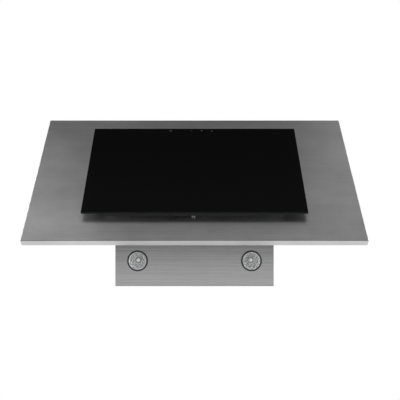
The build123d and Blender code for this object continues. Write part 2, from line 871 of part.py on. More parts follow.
with BuildPart() as filter_frame:
    block(on_slope(0, opening_centre, filter_back), filter_width, filter_length, filter_depth,
          filter_corner)
    block(on_slope(0, opening_centre, filter_back + sheet), filter_width - 2 * sheet,
          filter_length - 2 * sheet, filter_depth - 2 * sheet, filter_corner - sheet, mode=Mode.SUBTRACT)
    block(on_slope(0, opening_centre, filter_back), filter_width - 2 * filter_rim,
          filter_length - 2 * filter_rim, filter_depth, mode=Mode.SUBTRACT)
    block(on_slope(0, housing_centre, filter_back), housing_width, housing_height, filter_depth)
    block(on_slope(0, (pocket_low + pocket_high) / 2, filter_back + sheet), housing_width - 2 * latch_wall,
          pocket_high - pocket_low, filter_depth, mode=Mode.SUBTRACT)
    block(on_slope(0, filter_low + latch_wall / 2, latch_front - latch_thickness - seam),
          bolt_width + 2 * seam, latch_wall + overshoot, bolt_slot, mode=Mode.SUBTRACT)
    for side in sides:
        tab_up = filter_low + filter_length + (tab_length - overshoot) / 2
        block(on_slope(side * tab_place, tab_up, filter_back), tab_width, tab_length + overshoot, net_thickness)
keep(filter_frame, "filter_frame")


def filter_sheet(out, thickness):
    """A layer of the filter, as large as the rim's channel, with a notch for the latch housing."""
    block(on_slope(0, opening_centre, out), net_width, net_length, thickness, filter_corner - sheet - seam)
    block(on_slope(0, housing_centre, out), housing_width + 2 * seam, housing_height + 2 * seam, thickness,
          mode=Mode.SUBTRACT)


def filter_net(out):
    """One net: a sheet with rows of square gaps above the latch housing."""
    pitch = net_gap + net_rib
    net_columns = int((filter_width - 2 * filter_rim) // pitch)
    net_rows = int((filter_length - housing_height - filter_rim) // pitch)
    with BuildPart() as net:
        filter_sheet(out, net_thickness)
        with BuildSketch(on_slope(0, filter_low + filter_length / 2 + housing_height / 2, out)) as gaps:
            with GridLocations(pitch, pitch, net_columns, net_rows):
                Rectangle(net_gap, net_gap)
        extrude(gaps.sketch, amount=net_thickness, mode=Mode.SUBTRACT)
    return net


net_front = -filter_inset - sheet - net_thickness
keep(filter_net(net_front), "filter_net_front")
keep(filter_net(filter_back + sheet), "filter_net_back")

with BuildPart() as filter_pad:
    filter_sheet(filter_back + sheet + net_thickness, net_front - filter_back - sheet - net_thickness)
keep(filter_pad, "filter_pad")

# Latch: a slide with a finger grip, whose bolt goes through the suction frame's lower wall
latch_low = pocket_low + seam
latch_back = latch_front - latch_thickness

with BuildPart() as filter_latch:
    block(on_slope(0, latch_low + latch_height / 2, latch_back), latch_width, latch_height, latch_thickness)
    bolt_length = latch_low - opening_low + bolt_reach
    block(on_slope(0, latch_low - bolt_length / 2, latch_back), bolt_width, bolt_length, latch_thickness)
    block(on_slope(0, latch_low + latch_height / 2, latch_front), grip_width, latch_thickness,
          grip_height - latch_front)
keep(filter_latch, "filter_latch")

# Spring that pushes the latch down, in the pocket above it
spring_low = latch_low + latch_height + spring_wire + pin_clearance
spring_high = pocket_high - spring_wire - pin_clearance
spring_pitch = (spring_high - spring_low) / spring_turns
spring_out = filter_back + sheet + spring_radius + spring_wire + pin_clearance
spring_start = on_slope(0, spring_low, spring_out).origin

with BuildPart() as latch_spring:
    with BuildLine():
        coil = Helix(spring_pitch, spring_high - spring_low, spring_radius, center=spring_start,
                     direction=(0, -slope_cos, slope_sin))
    with BuildSketch(Plane(origin=coil @ 0, z_dir=coil % 0)):
        Circle(spring_wire)
    sweep(path=coil)
keep(latch_spring, "latch_spring")

# Glass cover: toughened glass with ground edges
glass_centre = glass_low + glass_length / 2

with BuildPart() as glass_cover:
    block(on_slope(0, glass_centre, glass_back), glass_width, glass_length, glass_thickness, glass_corner)
    fillet(glass_cover.faces().sort_by(outward)[-1].edges(), radius=glass_edge)
keep(glass_cover, "glass_cover")

# Steel tray bonded to the back of the glass
tray_length = tray_high - glass_low
tray_centre = (tray_high + glass_low) / 2
arm_screws = [
    on_slope(side * hinge_place, hinge_rise - hinge_first_screw - row * hinge_screw_pitch,
             tray_back - hinge_arm_thickness, facing=-1)
    for side in sides
    for row in range(2)
]

with BuildPart() as panel_tray:
    block(on_slope(0, tray_centre, tray_back), tray_width, tray_length, tray_depth)
    block(on_slope(0, tray_centre, tray_back + sheet), tray_width - 2 * sheet, tray_length - 2 * sheet,
          tray_depth, mode=Mode.SUBTRACT)
    frame(on_slope(0, tray_centre, glass_back - sheet), (tray_width - sheet, tray_length - sheet),
          (tray_width - 2 * (sheet + tray_flange), tray_length - 2 * sheet - tray_flange), sheet,
          shift=tray_flange / 2)
    drill(arm_screws, screw_hole, hinge_arm_thickness + 2 * sheet)
keep(panel_tray, "panel_tray")

# Touch control behind the top of the glass
touch_up = tray_high - sheet - seam - touch_height / 2

with BuildPart() as touch_case:
    block(on_slope(touch_place, touch_up, glass_back - touch_depth), touch_width, touch_height, touch_depth)
    block(on_slope(touch_place, touch_up, glass_back - touch_depth + touch_wall),
          touch_width - 2 * touch_wall, touch_height - 2 * touch_wall, touch_depth, mode=Mode.SUBTRACT)
keep(touch_case, "touch_case")

with BuildPart() as touch_board:
    block(on_slope(touch_place, touch_up, glass_back - board_thickness),
          touch_width - 2 * (touch_wall + seam), touch_height - 2 * (touch_wall + seam), board_thickness)
keep(touch_board, "touch_board")

# Hinge arms screwed to the tray, and the brackets with two ears that they turn in
ear_inner = hinge_lug_width / 2 + hinge_side_gap
ear_outer = ear_inner + hinge_ear_thickness
hinge_base_centre = hinge_rise + hinge_ear_radius - hinge_base_length / 2
pin_ends = [across(side * hinge_place, hinge_rise, hinge_standoff) for side in sides]

with BuildPart() as hinge_arms:
    lug_reach = tray_back - hinge_standoff
    for side in sides:
        block(on_slope(side * hinge_place, hinge_base_centre, tray_back - hinge_arm_thickness),
              hinge_lug_width, hinge_base_length, hinge_arm_thickness)
        with BuildSketch(across(side * hinge_place - hinge_lug_width / 2, hinge_rise, hinge_standoff)):
            Circle(hinge_lug_radius)
            with Locations((0, lug_reach / 2)):
                Rectangle(2 * hinge_lug_radius, lug_reach)
        extrude(amount=hinge_lug_width)
    drill(pin_ends, hinge_pin_radius + pin_clearance, hinge_lug_width)
    drill(arm_screws, screw_hole, 2 * hinge_arm_thickness)
keep(hinge_arms, "hinge_arms")

with BuildPart() as hinge_brackets:
    for side in sides:
        block(on_slope(side * hinge_place, hinge_base_centre, 0), 2 * ear_outer, hinge_base_length,
              hinge_base_thickness)
        for start in (-ear_outer, ear_inner):
            with BuildSketch(across(side * hinge_place + start, hinge_rise, hinge_standoff)):
                Circle(hinge_ear_radius)
                with Locations((0, -hinge_standoff / 2)):
                    Rectangle(2 * hinge_ear_radius, hinge_standoff)
            extrude(amount=hinge_ear_thickness)
    drill(pin_ends, hinge_pin_radius + pin_clearance, 2 * ear_outer)
    drill(hinge_screws, screw_hole, 2 * hinge_base_thickness)
keep(hinge_brackets, "hinge_brackets")

with BuildPart() as hinge_pins:
    for side in sides:
        reach = ear_outer + seam
        disc(across(side * hinge_place - reach, hinge_rise, hinge_standoff), hinge_pin_radius, 2 * reach)
        for head in (-reach - hinge_pin_head_height, reach):
            disc(across(side * hinge_place + head, hinge_rise, hinge_standoff), hinge_pin_head,
                 hinge_pin_head_height)
keep(hinge_pins, "hinge_pins")

# Two-pronged spring clip under the tray, and its socket behind the plate
with BuildPart() as panel_clip:
    block(on_slope(clip_place, clip_up, tray_back - prong_thickness), clip_base_width, clip_base_height,
          prong_thickness)
    for side in sides:
        block(on_slope(clip_place + side * prong_pitch / 2, clip_up, -prong_reach), prong_width,
              prong_thickness, tray_back - prong_thickness / 2 + prong_reach)
keep(panel_clip, "panel_clip")

with BuildPart() as clip_socket:
    block(on_slope(clip_place, clip_up, -sheet - socket_depth), slot_width + 2 * socket_wall,
          slot_height + 2 * socket_wall, socket_depth)
    block(on_slope(clip_place, clip_up, -sheet - socket_depth + socket_wall), slot_width, slot_height,
          socket_depth, mode=Mode.SUBTRACT)
keep(clip_socket, "clip_socket")

# Rubber bumpers on the tray that keep the panel off the plate
with BuildPart() as panel_bumpers:
    for side in sides:
        disc(on_slope(side * bumper_place, glass_low + bumper_rise, seam), bumper_radius, tray_back - seam)
    chamfer(panel_bumpers.faces().group_by(outward)[0].edges(), length=bumper_radius / 4)
keep(panel_bumpers, "panel_bumpers")

# Lamps: bezel rings in the body's bottom, each with a reflector lamp, its lens and its holder
with BuildPart() as lamp_rings:
    for x, depth in lamp_places:
        base = level(lamp_recess - lamp_ring_thickness, x, depth)
        disc(base, lamp_ring_radius, lamp_ring_thickness)
    fillet(lamp_rings.faces().group_by(Axis.Z)[0].edges(), radius=lamp_ring_edge)
    for x, depth in lamp_places:
        base = level(lamp_recess - lamp_ring_thickness, x, depth)
        disc(base, lamp_tube_radius, lamp_ring_thickness + lamp_tube_height)
        disc(base, lamp_sight_radius, lamp_ring_thickness, mode=Mode.SUBTRACT)
        disc(level(lamp_recess, x, depth), lamp_tube_radius - lamp_tube_wall, lamp_tube_height,
             mode=Mode.SUBTRACT)
keep(lamp_rings, "lamp_rings")

with BuildPart() as lamp_lenses:
    for x, depth in lamp_places:
        disc(level(lamp_recess, x, depth), lamp_radius, lamp_lens_thickness)
keep(lamp_lenses, "lamp_lenses")

reflector_low = lamp_recess + lamp_lens_thickness
reflector_top = reflector_low + reflector_height
holder_low = reflector_top + lamp_base_height

with BuildPart() as lamp_reflectors:
    for x, depth in lamp_places:
        belly = reflector_height / 2
        with BuildSketch(upright(depth, x, reflector_low)):
            with BuildLine():
                ThreePointArc((lamp_radius, 0), (reflector_belly, belly),
                              (reflector_neck, reflector_height))
                Polyline(
                    (reflector_neck, reflector_height),
                    (reflector_neck, reflector_height + lamp_base_height),
                    (0, reflector_height + lamp_base_height),
                    (0, reflector_height - reflector_wall),
                    (reflector_neck - reflector_wall, reflector_height - reflector_wall),
                )
                ThreePointArc(
                    (reflector_neck - reflector_wall, reflector_height - reflector_wall),
                    (reflector_belly - reflector_wall, belly - reflector_wall),
                    (lamp_radius - reflector_wall, 0),
                )
                Line((lamp_radius - reflector_wall, 0), (lamp_radius, 0))
            make_face()
        revolve(axis=Axis((x, -depth, 0), (0, 0, 1)))
        for side in sides:
            disc(level(holder_low, x + side * contact_spacing / 2, depth), contact_radius, contact_height)
keep(lamp_reflectors, "lamp_reflectors")

with BuildPart() as lamp_capsules:
    for x, depth in lamp_places:
        disc(level(reflector_top - reflector_wall - capsule_length, x, depth), capsule_radius,
             capsule_length)
    fillet(lamp_capsules.faces().group_by(Axis.Z)[0].edges(), radius=capsule_tip)
keep(lamp_capsules, "lamp_capsules")

with BuildPart() as lamp_holders:
    for x, depth in lamp_places:
        disc(level(holder_low, x, depth), holder_radius, holder_height)
        for side in sides:
            disc(level(holder_low, x + side * contact_spacing / 2, depth), contact_radius + screw_clearance,
                 contact_height + seam, mode=Mode.SUBTRACT)
keep(lamp_holders, "lamp_holders")

with BuildPart() as lamp_clamps:
    for x, depth in lamp_places:
        for side in sides:
            start = lamp_tube_radius
            knee = start + clamp_thickness
            tip = lamp_tube_radius + clamp_reach
            foot = sheet + seam
            with BuildSketch(upright(depth - clamp_width / 2, x, lamp_recess)) as strip:
                with BuildLine():
                    Polyline(
                        (side * start, foot + clamp_toe),
                        (side * knee, foot + clamp_toe),
                        (side * knee, clamp_rise - 2 * clamp_thickness),
                        (side * (tip - clamp_thickness), foot),
                        (side * tip, foot),
                        (side * knee, clamp_rise),
                        (side * start, clamp_rise),
                        close=True,
                    )
                make_face()
            extrude(amount=clamp_width)
keep(lamp_clamps, "lamp_clamps")

# Lower chimney: front and sides in one sheet, open at the wall, screwed down by its foot flange.
# It ends just below the wall bracket that the upper chimney reaches when it is pushed down.
upper_low = body_top + sheet + seam
upper_half = chimney_width / 2 - sheet - slide_gap
upper_back = sheet + slide_gap
upper_front = chimney_depth - sheet - slide_gap
upper_top = upper_low + upper_height
lower_height = upper_top - sheet - bracket_height - bracket_clear - body_top

with BuildPart() as chimney_lower:
    block(level(body_top, 0, chimney_centre), chimney_width, chimney_depth, lower_height)
    block(level(body_top, 0, chimney_centre), chimney_width - 2 * sheet, chimney_depth - 2 * sheet,
          lower_height, mode=Mode.SUBTRACT)
    frame(level(body_top, 0, chimney_centre), (chimney_width - sheet, chimney_depth - sheet),
          (chimney_width - 2 * (sheet + chimney_flange), chimney_depth - 2 * sheet - chimney_flange), sheet,
          shift=chimney_flange / 2)
    block(upright(0, 0, body_top + lower_height / 2), chimney_width - 2 * chimney_return, lower_height,
          sheet, mode=Mode.SUBTRACT)
    drill(chimney_screws, screw_hole, 2 * sheet)
keep(chimney_lower, "chimney_lower")

# Upper chimney: slides up inside the lower one to reach the ceiling
upper_centre = (upper_back + upper_front) / 2
bracket_middle = upper_top - sheet - bracket_height / 2
tab_screws = [
    Plane(origin=(side * upper_half, -bracket_tab / 2, low + bracket_middle), x_dir=(0, side, 0),
          z_dir=(side, 0, 0))
    for side in sides
]

with BuildPart() as chimney_upper:
    block(level(upper_low, 0, upper_centre), 2 * upper_half, upper_front - upper_back, upper_height)
    block(level(upper_low, 0, upper_centre), 2 * (upper_half - sheet), upper_front - upper_back - 2 * sheet,
          upper_height, mode=Mode.SUBTRACT)
    block(upright(0, 0, upper_low + upper_height / 2), 2 * (upper_half - chimney_return), upper_height,
          upper_back + sheet, mode=Mode.SUBTRACT)
    block(upright(0, 0, bracket_middle), 2 * (upper_half - sheet), bracket_height + 2 * (sheet + overshoot),
          upper_back + sheet, mode=Mode.SUBTRACT)
    drill(tab_screws, screw_hole, 2 * sheet)
keep(chimney_upper, "chimney_upper")

# Wall bracket of the upper chimney, with a tab inside each side
bracket_holes = [upright(0, side * bracket_hole_spacing / 2, bracket_middle) for side in sides]

with BuildPart() as chimney_bracket:
    block(upright(0, 0, bracket_middle), 2 * (upper_half - sheet), bracket_height, bracket_tab)
    block(upright(bracket_thickness, 0, bracket_middle), 2 * (upper_half - sheet - bracket_thickness),
          bracket_height, bracket_tab, mode=Mode.SUBTRACT)
    drill(bracket_holes, bracket_hole_radius, 2 * bracket_thickness)
    drill(tab_screws, screw_hole, 2 * sheet + 2 * bracket_thickness)
keep(chimney_bracket, "chimney_bracket")

# Screws, by the body they move with
keep(screw_group(casing_screws_slope + top_screws + outlet_screws + chimney_screws + motor_screws
                 + hinge_screws), "casing_screws")
keep(screw_group(arm_screws), "panel_screws")
keep(screw_group(tab_screws), "bracket_screws")

# Leads inside the body, from the lamps and the motor to the control box
lead_depth = sheet + box_depth / 2
box_entry = low + box_rise
holder_top = low + holder_low + holder_height
left_x, right_x = -lamp_spacing / 2, lamp_spacing / 2
lamp_row = holder_top + lead_turn

with BuildPart() as lamp_leads:
    add(lead([
        (left_x, -lamp_depth, holder_top),
        (left_x, -lamp_depth, lamp_row),
        (left_x, -lead_depth, lamp_row + lead_step),
        (left_x, -lead_depth, box_entry),
    ]))
    add(lead([
        (right_x, -lamp_depth, holder_top),
        (right_x, -lamp_depth, lamp_row - lead_step),
        (box_place + lead_shift, -lamp_depth, lamp_row - lead_step),
        (box_place + lead_shift, -lead_depth, lamp_row),
        (box_place + lead_shift, -lead_depth, box_entry),
    ]))
keep(lamp_leads, "lamp_leads")

motor_out = motor_end + lead_turn + seam
motor_row = low + blower_height - scroll_end - 2 * scroll_growth - scroll_wall - lead_turn / 2
with BuildPart() as motor_lead:
    add(lead([
        (motor_end, -blower_depth + motor_radius / 2, low + blower_height),
        (motor_out, -blower_depth + motor_radius / 2, low + blower_height),
        (motor_out, -blower_depth + motor_radius / 2, motor_row),
        (box_place, -blower_depth + motor_radius / 2, motor_row),
        (box_place, -lead_depth, motor_row),
        (box_place, -lead_depth, box_entry),
    ]))
keep(motor_lead, "motor_lead")
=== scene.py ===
from math import pi, radians, sqrt

import bmesh
import bpy
import numpy as np
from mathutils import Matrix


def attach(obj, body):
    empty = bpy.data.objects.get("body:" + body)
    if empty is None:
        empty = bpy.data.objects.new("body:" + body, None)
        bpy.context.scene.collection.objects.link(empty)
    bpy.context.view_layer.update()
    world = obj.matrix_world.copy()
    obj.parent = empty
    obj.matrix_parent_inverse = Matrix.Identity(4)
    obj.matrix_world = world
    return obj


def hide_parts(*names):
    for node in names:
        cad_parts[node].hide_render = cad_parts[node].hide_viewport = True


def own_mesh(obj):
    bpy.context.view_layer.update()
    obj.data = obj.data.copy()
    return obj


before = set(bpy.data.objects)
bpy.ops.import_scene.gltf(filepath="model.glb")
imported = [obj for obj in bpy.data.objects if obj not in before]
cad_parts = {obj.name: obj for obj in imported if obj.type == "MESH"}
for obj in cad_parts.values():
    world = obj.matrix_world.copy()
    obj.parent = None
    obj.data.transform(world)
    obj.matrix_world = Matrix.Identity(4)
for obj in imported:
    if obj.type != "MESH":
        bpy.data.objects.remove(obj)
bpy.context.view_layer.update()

# Camera: stands on the floor under the hood and looks straight up, with the room's side at the top of
# the picture. The hood hangs a little left of the middle, which a small sideways shift keeps.
camera = bpy.data.objects.new("camera", bpy.data.cameras.new("camera"))
camera.location = (0.0, -0.2248, -1.9745)
camera.rotation_euler = (pi, 0.0, 0.0)
camera.data.lens = 58.8
camera.data.shift_x = 0.0137
camera.data.clip_end = 50.0
bpy.context.scene.collection.objects.link(camera)
bpy.context.scene.camera = camera
bpy.context.scene.view_settings.view_transform = "Standard"


# Studio: a pale floor well below the camera, a white background, soft lamps, and three cards. Polished
# steel reflects one that stands in front of the hood and one on the floor. Only the light that comes out
# through lamp glass sees the third.
merge_reach, sliver_reach, sharp_angle = 0.000002, 0.000001, radians(25)


def mesh_piece(name, parts, material, smooth=True):
    """One object from parts, each an array of points with arrays of its faces. Points that fall together are
    merged, faces are turned outwards, and edges over 25 degrees stay sharp."""
    points, faces, start = [], [], 0
    for part_points, blocks in parts:
        part_points = np.asarray(part_points, float).reshape(-1, 3)
        for block in blocks:
            faces += (np.asarray(block) + start).tolist()
        points.append(part_points)
        start += len(part_points)
    mesh = bpy.data.meshes.new(name)
    mesh.from_pydata(np.concatenate(points).tolist(), [], faces)
    shape = bmesh.new()
    shape.from_mesh(mesh)
    bmesh.ops.remove_doubles(shape, verts=shape.verts, dist=merge_reach)
    bmesh.ops.dissolve_degenerate(shape, edges=shape.edges, dist=sliver_reach)
    bmesh.ops.recalc_face_normals(shape, faces=shape.faces)
    shape.to_mesh(mesh)
    shape.free()
    mesh.polygons.foreach_set("use_smooth", np.full(len(mesh.polygons), smooth))
    if smooth:
        mesh.set_sharp_from_angle(angle=sharp_angle)
    mesh.materials.append(material)
    piece = bpy.data.objects.new(name, mesh)
    bpy.context.scene.collection.objects.link(piece)
    return piece


def finish(name):
    """A new material with its node tree, its links and its Principled shader."""
    material = bpy.data.materials.new(name)
    material.use_nodes = True
    tree = material.node_tree
    return material, tree.nodes, tree.links, tree.nodes["Principled BSDF"]


def node_beside(value, kind):
    """A new node of a kind in the tree that an output belongs to, and that tree's links."""
    tree = value.node.id_data
    return tree.nodes.new(kind), tree.links


def own_place(nodes):
    """Where a point of the piece lies in the hood's frame."""
    return nodes.new("ShaderNodeTexCoord").outputs["Object"]


def math_node(operation, first, second=0.0):
    """A math node on two values, one an output, the other a number or an output."""
    node, links = node_beside(second if isinstance(first, float) else first, "ShaderNodeMath")
    node.operation = operation
    for value, socket in zip((first, second), node.inputs):
        if isinstance(value, float):
            socket.default_value = value
        else:
            links.new(value, socket)
    return node.outputs["Value"]


def added(base, value, amount):
    """A base plus a value times an amount. Only the value has to be an output."""
    return math_node("ADD", math_node("MULTIPLY", value, amount), base)


def separated(vector):
    """The X, Y and Z of a vector output."""
    node, links = node_beside(vector, "ShaderNodeSeparateXYZ")
    links.new(vector, node.inputs["Vector"])
    return node.outputs


def ranged(value, given, wanted=(0.0, 1.0)):
    """A value moved smoothly from one range to another and held at its ends."""
    node, links = node_beside(value, "ShaderNodeMapRange")
    node.interpolation_type = "SMOOTHSTEP"
    node.inputs["From Min"].default_value, node.inputs["From Max"].default_value = given
    node.inputs["To Min"].default_value, node.inputs["To Max"].default_value = wanted
    links.new(value, node.inputs["Value"])
    return node.outputs["Result"]


floor_height, floor_half = -3.2, 9.0
floor_greys, speckle_scale = (0.66, 0.72), 3.0
square = np.array([(-1, -1), (1, -1), (1, 1), (-1, 1)])
floor_paint, nodes, links, shader = finish("floor_paint")
speckle = nodes.new("ShaderNodeTexNoise")
speckle.inputs["Scale"].default_value = speckle_scale
shade = nodes.new("ShaderNodeValToRGB")
for stop, grey in zip(shade.color_ramp.elements, floor_greys):
    stop.color = (grey, grey, grey, 1.0)
links.new(speckle.outputs["Fac"], shade.inputs["Fac"])
links.new(shade.outputs["Color"], shader.inputs["Base Color"])
shader.inputs["Roughness"].default_value = 0.9
floor = mesh_piece("floor", [(np.insert(square * floor_half, 2, floor_height, axis=1), [[(0, 1, 2, 3)]])],
                   floor_paint, smooth=False)


def reflected_card(name, corners, strength, through_glass=False):
    """A card that only reflections see, or only light that comes out through lamp glass. Its brightness is
    worked out from its own place by the given steps."""
    paper, nodes, links, _ = finish(name)
    nodes.clear()
    glow = nodes.new("ShaderNodeEmission")
    links.new(strength(separated(own_place(nodes))), glow.inputs["Strength"])
    links.new(glow.outputs["Emission"], nodes.new("ShaderNodeOutputMaterial").inputs["Surface"])
    card = mesh_piece(name, [(corners, [[(0, 1, 2, 3)]])], paper, smooth=False)
    card.visible_camera = False
    card.visible_diffuse = False
    card.visible_shadow = False
    card.visible_glossy = not through_glass
    card.visible_transmission = through_glass


front_span, front_base, front_fade, side_start = (-0.40, 0.10), 0.299, -0.176, 0.55
front_sides = ((0.62, -0.002, 0.230), (-0.62, 0.230, -0.253))


def front_glow(place):
    """0.30 at the bottom and 0.12 at the top. Beyond 0.34 m to each side, amounts for the bottom and for the
    way up are added, so it is brighter high up at the right and low down at the left."""
    rise = ranged(place["Z"], front_span)
    glow = added(front_base, rise, front_fade)
    for reach, low, high in front_sides:
        side = ranged(place["X"], (reach * side_start, reach))
        glow = added(glow, side, added(low, rise, high))
    return glow


pale_span, pale_glow = (0.08, 0.20), (0.0, 0.74)


def floor_glow(place):
    """Dark on the room's side, and pale from the wall on."""
    return ranged(place["Y"], pale_span, pale_glow)


lamps_depth, lean_span, lean_glow = 0.15, (0.0, 1.5), (1.2, 2.0)


def lamp_glow(place):
    """Bright to the left and right of the lamps, and darker ahead of and behind them."""
    side = math_node("ABSOLUTE", place["X"])
    ahead = math_node("ABSOLUTE", math_node("ADD", place["Y"], lamps_depth))
    lean = math_node("SUBTRACT", side, ahead)
    return ranged(lean, lean_span, lean_glow)


card_depth, card_height = 1.0, floor_height + 0.02
front_half, front_reach = 1.4, (-1.0, 0.9)
pale_half, pale_reach = 2.5, (-6.0, 0.8)
lamp_half = 6.0
corners = square.tolist()
reflected_card("front_card", [(x * front_half, -card_depth, front_reach[z > 0]) for x, z in corners],
               front_glow)
reflected_card("floor_card", [(x * pale_half, pale_reach[y > 0], card_height) for x, y in corners],
               floor_glow)
reflected_card("lamp_card", [(x * lamp_half, y * lamp_half, card_height) for x, y in corners],
               lamp_glow, through_glass=True)

room_grey = 0.62
world = bpy.data.worlds.new("studio")
bpy.context.scene.world = world
world.use_nodes = True
nodes, links = world.node_tree.nodes, world.node_tree.links
room = nodes["Background"]
room.inputs["Color"].default_value = (room_grey, room_grey, room_grey, 1.0)
backdrop = nodes.new("ShaderNodeBackground")
backdrop.inputs["Color"].default_value = (1.0, 1.0, 1.0, 1.0)
rays = nodes.new("ShaderNodeLightPath")
seen = math_node("MAXIMUM", rays.outputs["Is Camera Ray"], rays.outputs["Is Glossy Ray"])
through = math_node("MAXIMUM", seen, rays.outputs["Is Transmission Ray"])
either = nodes.new("ShaderNodeMixShader")
links.new(through, either.inputs["Fac"])
links.new(room.outputs["Background"], either.inputs[1])
links.new(backdrop.outputs["Background"], either.inputs[2])
links.new(either.outputs["Shader"], nodes["World Output"].inputs["Surface"])

softboxes = (
    ("softbox_left", (-2.6, -2.4, 1.6), (radians(58), 0.0, radians(-47)), 1.6, 60.0),
    ("softbox_right", (2.8, -2.0, 1.2), (radians(64), 0.0, radians(54)), 1.6, 38.0),
    ("softbox_top", (0.0, -0.6, 3.4), (0.0, 0.0, 0.0), 2.2, 45.0),
)
for name, location, turn, size, power in softboxes:
    softbox = bpy.data.objects.new(name, bpy.data.lights.new(name, "AREA"))
    softbox.location = location
    softbox.rotation_euler = turn
    softbox.data.size = size
    softbox.data.energy = power
    bpy.context.scene.collection.objects.link(softbox)


# Front plate: one sheet of brushed stainless steel folded back round its edges. The grain runs across
# the hood, and wiping has left soft cloudy bands in its shine.
def effect(name, inputs, outputs):
    """A shader node group with named inputs, each a number, vector or colour, and named outputs."""
    group = bpy.data.node_groups.new(name, "ShaderNodeTree")
    for title, value in inputs.items():
        kind = "Float" if isinstance(value, float) else {3: "Vector", 4: "Color"}[len(value)]
        socket = group.interface.new_socket(title, in_out="INPUT", socket_type="NodeSocket" + kind)
        socket.default_value = value
    for title, kind in outputs.items():
        group.interface.new_socket(title, in_out="OUTPUT", socket_type="NodeSocket" + kind)
    return group, group.nodes.new("NodeGroupInput"), group.nodes.new("NodeGroupOutput")


def noise_node(vector, scale, detail=2.0, roughness=0.5):
    """A noise texture on a vector output."""
    node, links = node_beside(vector, "ShaderNodeTexNoise")
    node.inputs["Scale"].default_value = scale
    node.inputs["Detail"].default_value = detail
    node.inputs["Roughness"].default_value = roughness
    links.new(vector, node.inputs["Vector"])
    return node.outputs["Fac"]


def stretched(vector, scale):
    """A vector output scaled by a vector output or by three numbers."""
    node, links = node_beside(vector, "ShaderNodeVectorMath")
    node.operation = "MULTIPLY"
    links.new(vector, node.inputs[0])
    if isinstance(scale, tuple):
        node.inputs[1].default_value = scale
    else:
        links.new(scale, node.inputs[1])
    return node.outputs["Vector"]


def centred(value, amount):
    """A value from 0 to 1 turned into one from minus half to plus half, times an amount."""
    return math_node("MULTIPLY", math_node("SUBTRACT", value, 0.5), amount)


def shared(first, second, share):
    """A share of the first value, and the rest of the second."""
    return added(math_node("MULTIPLY", first, share), second, 1 - share)


across_grain, turned_grain = (8.0, 1400.0, 1400.0), (1400.0, 8.0, 1400.0)
side_limit, line_scale, hair_share = 0.7, 0.22, 0.45
band_stretch, band_scale, spot_scale, band_share = (1.3, 4.0, 4.0), 2.2, 13.0, 0.55
worn_span, worn_streaks = (0.24, 0.36), (1.0, 0.35)
streak_shine, cloud_shine = 0.15, 0.2


def brushed_grain():
    """Noise drawn out by the Grain vector, or by Side Grain on faces that look sideways, under broad clouds.
    The streaks are weaker towards the hood's sides. It puts out a colour, a roughness and a height."""
    group, given, put = effect(
        "brushed_grain",
        {"Metal": (0.5, 0.5, 0.5, 1.0), "Grain": across_grain, "Side Grain": turned_grain,
         "Streaks": 0.12, "Clouds": 0.10, "Shine": 0.32},
        {"Color": "Color", "Roughness": "Float", "Height": "Float"},
    )
    nodes, links = group.nodes, group.links
    coordinates = nodes.new("ShaderNodeTexCoord")
    place = coordinates.outputs["Object"]
    facing = separated(coordinates.outputs["Normal"])
    sideways = math_node("ABSOLUTE", facing["X"])
    grain = nodes.new("ShaderNodeMix")
    grain.data_type = "VECTOR"
    links.new(math_node("GREATER_THAN", sideways, side_limit), grain.inputs["Factor"])
    links.new(given.outputs["Grain"], grain.inputs[4])
    links.new(given.outputs["Side Grain"], grain.inputs[5])
    drawn_place = stretched(place, grain.outputs[1])
    hairs = noise_node(drawn_place, 1.0, 3.0, 0.6)
    lines = noise_node(drawn_place, line_scale, 2.0, 0.6)
    banded_place = stretched(place, band_stretch)
    bands = noise_node(banded_place, band_scale, 3.0, 0.55)
    spots = noise_node(place, spot_scale, 5.0, 0.65)
    from_middle = math_node("ABSOLUTE", separated(place)["X"])
    worn = ranged(from_middle, worn_span, worn_streaks)
    fibres = centred(shared(hairs, lines, hair_share), given.outputs["Streaks"])
    streak = math_node("MULTIPLY", fibres, worn)
    cloud = centred(shared(bands, spots, band_share), given.outputs["Clouds"])
    tone = nodes.new("ShaderNodeVectorMath")
    tone.operation = "SCALE"
    links.new(given.outputs["Metal"], tone.inputs[0])
    links.new(math_node("ADD", math_node("ADD", streak, cloud), 1.0), tone.inputs["Scale"])
    links.new(tone.outputs["Vector"], put.inputs["Color"])
    rough = added(given.outputs["Shine"], streak, streak_shine)
    links.new(added(rough, cloud, cloud_shine), put.inputs["Roughness"])
    links.new(hairs, put.inputs["Height"])
    return group


brushed = brushed_grain()


def place_effect(nodes, group, **values):
    """A copy of an effect in a material, with its own values."""
    node = nodes.new("ShaderNodeGroup")
    node.node_tree = group
    for title, value in values.items():
        node.inputs[title.replace("_", " ")].default_value = value
    return node


def bump(height, distance, shader, strength=1.0):
    """A bump of a height output, in metres, on the shader's normal."""
    node, links = node_beside(height, "ShaderNodeBump")
    node.inputs["Strength"].default_value = strength
    node.inputs["Distance"].default_value = distance
    links.new(height, node.inputs["Height"])
    links.new(node.outputs["Normal"], shader.inputs["Normal"])


hair_depth, hair_strength = 0.00002, 0.25


def brushed_steel(name, metal, grain, side_grain, streaks, clouds, shine, drawn_out=0.0, turn=0.0):
    """Brushed sheet steel: grain in its colour, roughness and normal, and a highlight drawn out across it."""
    material, nodes, links, shader = finish(name)
    drawn = place_effect(nodes, brushed, Metal=metal, Grain=grain, Side_Grain=side_grain,
                         Streaks=streaks, Clouds=clouds, Shine=shine)
    links.new(drawn.outputs["Color"], shader.inputs["Base Color"])
    links.new(drawn.outputs["Roughness"], shader.inputs["Roughness"])
    bump(drawn.outputs["Height"], hair_depth, shader, hair_strength)
    shader.inputs["Metallic"].default_value = 1.0
    shader.inputs["Anisotropic"].default_value = drawn_out
    shader.inputs["Anisotropic Rotation"].default_value = turn
    across = nodes.new("ShaderNodeTangent")
    across.direction_type = "RADIAL"
    across.axis = "X"
    links.new(across.outputs["Tangent"], shader.inputs["Tangent"])
    return material


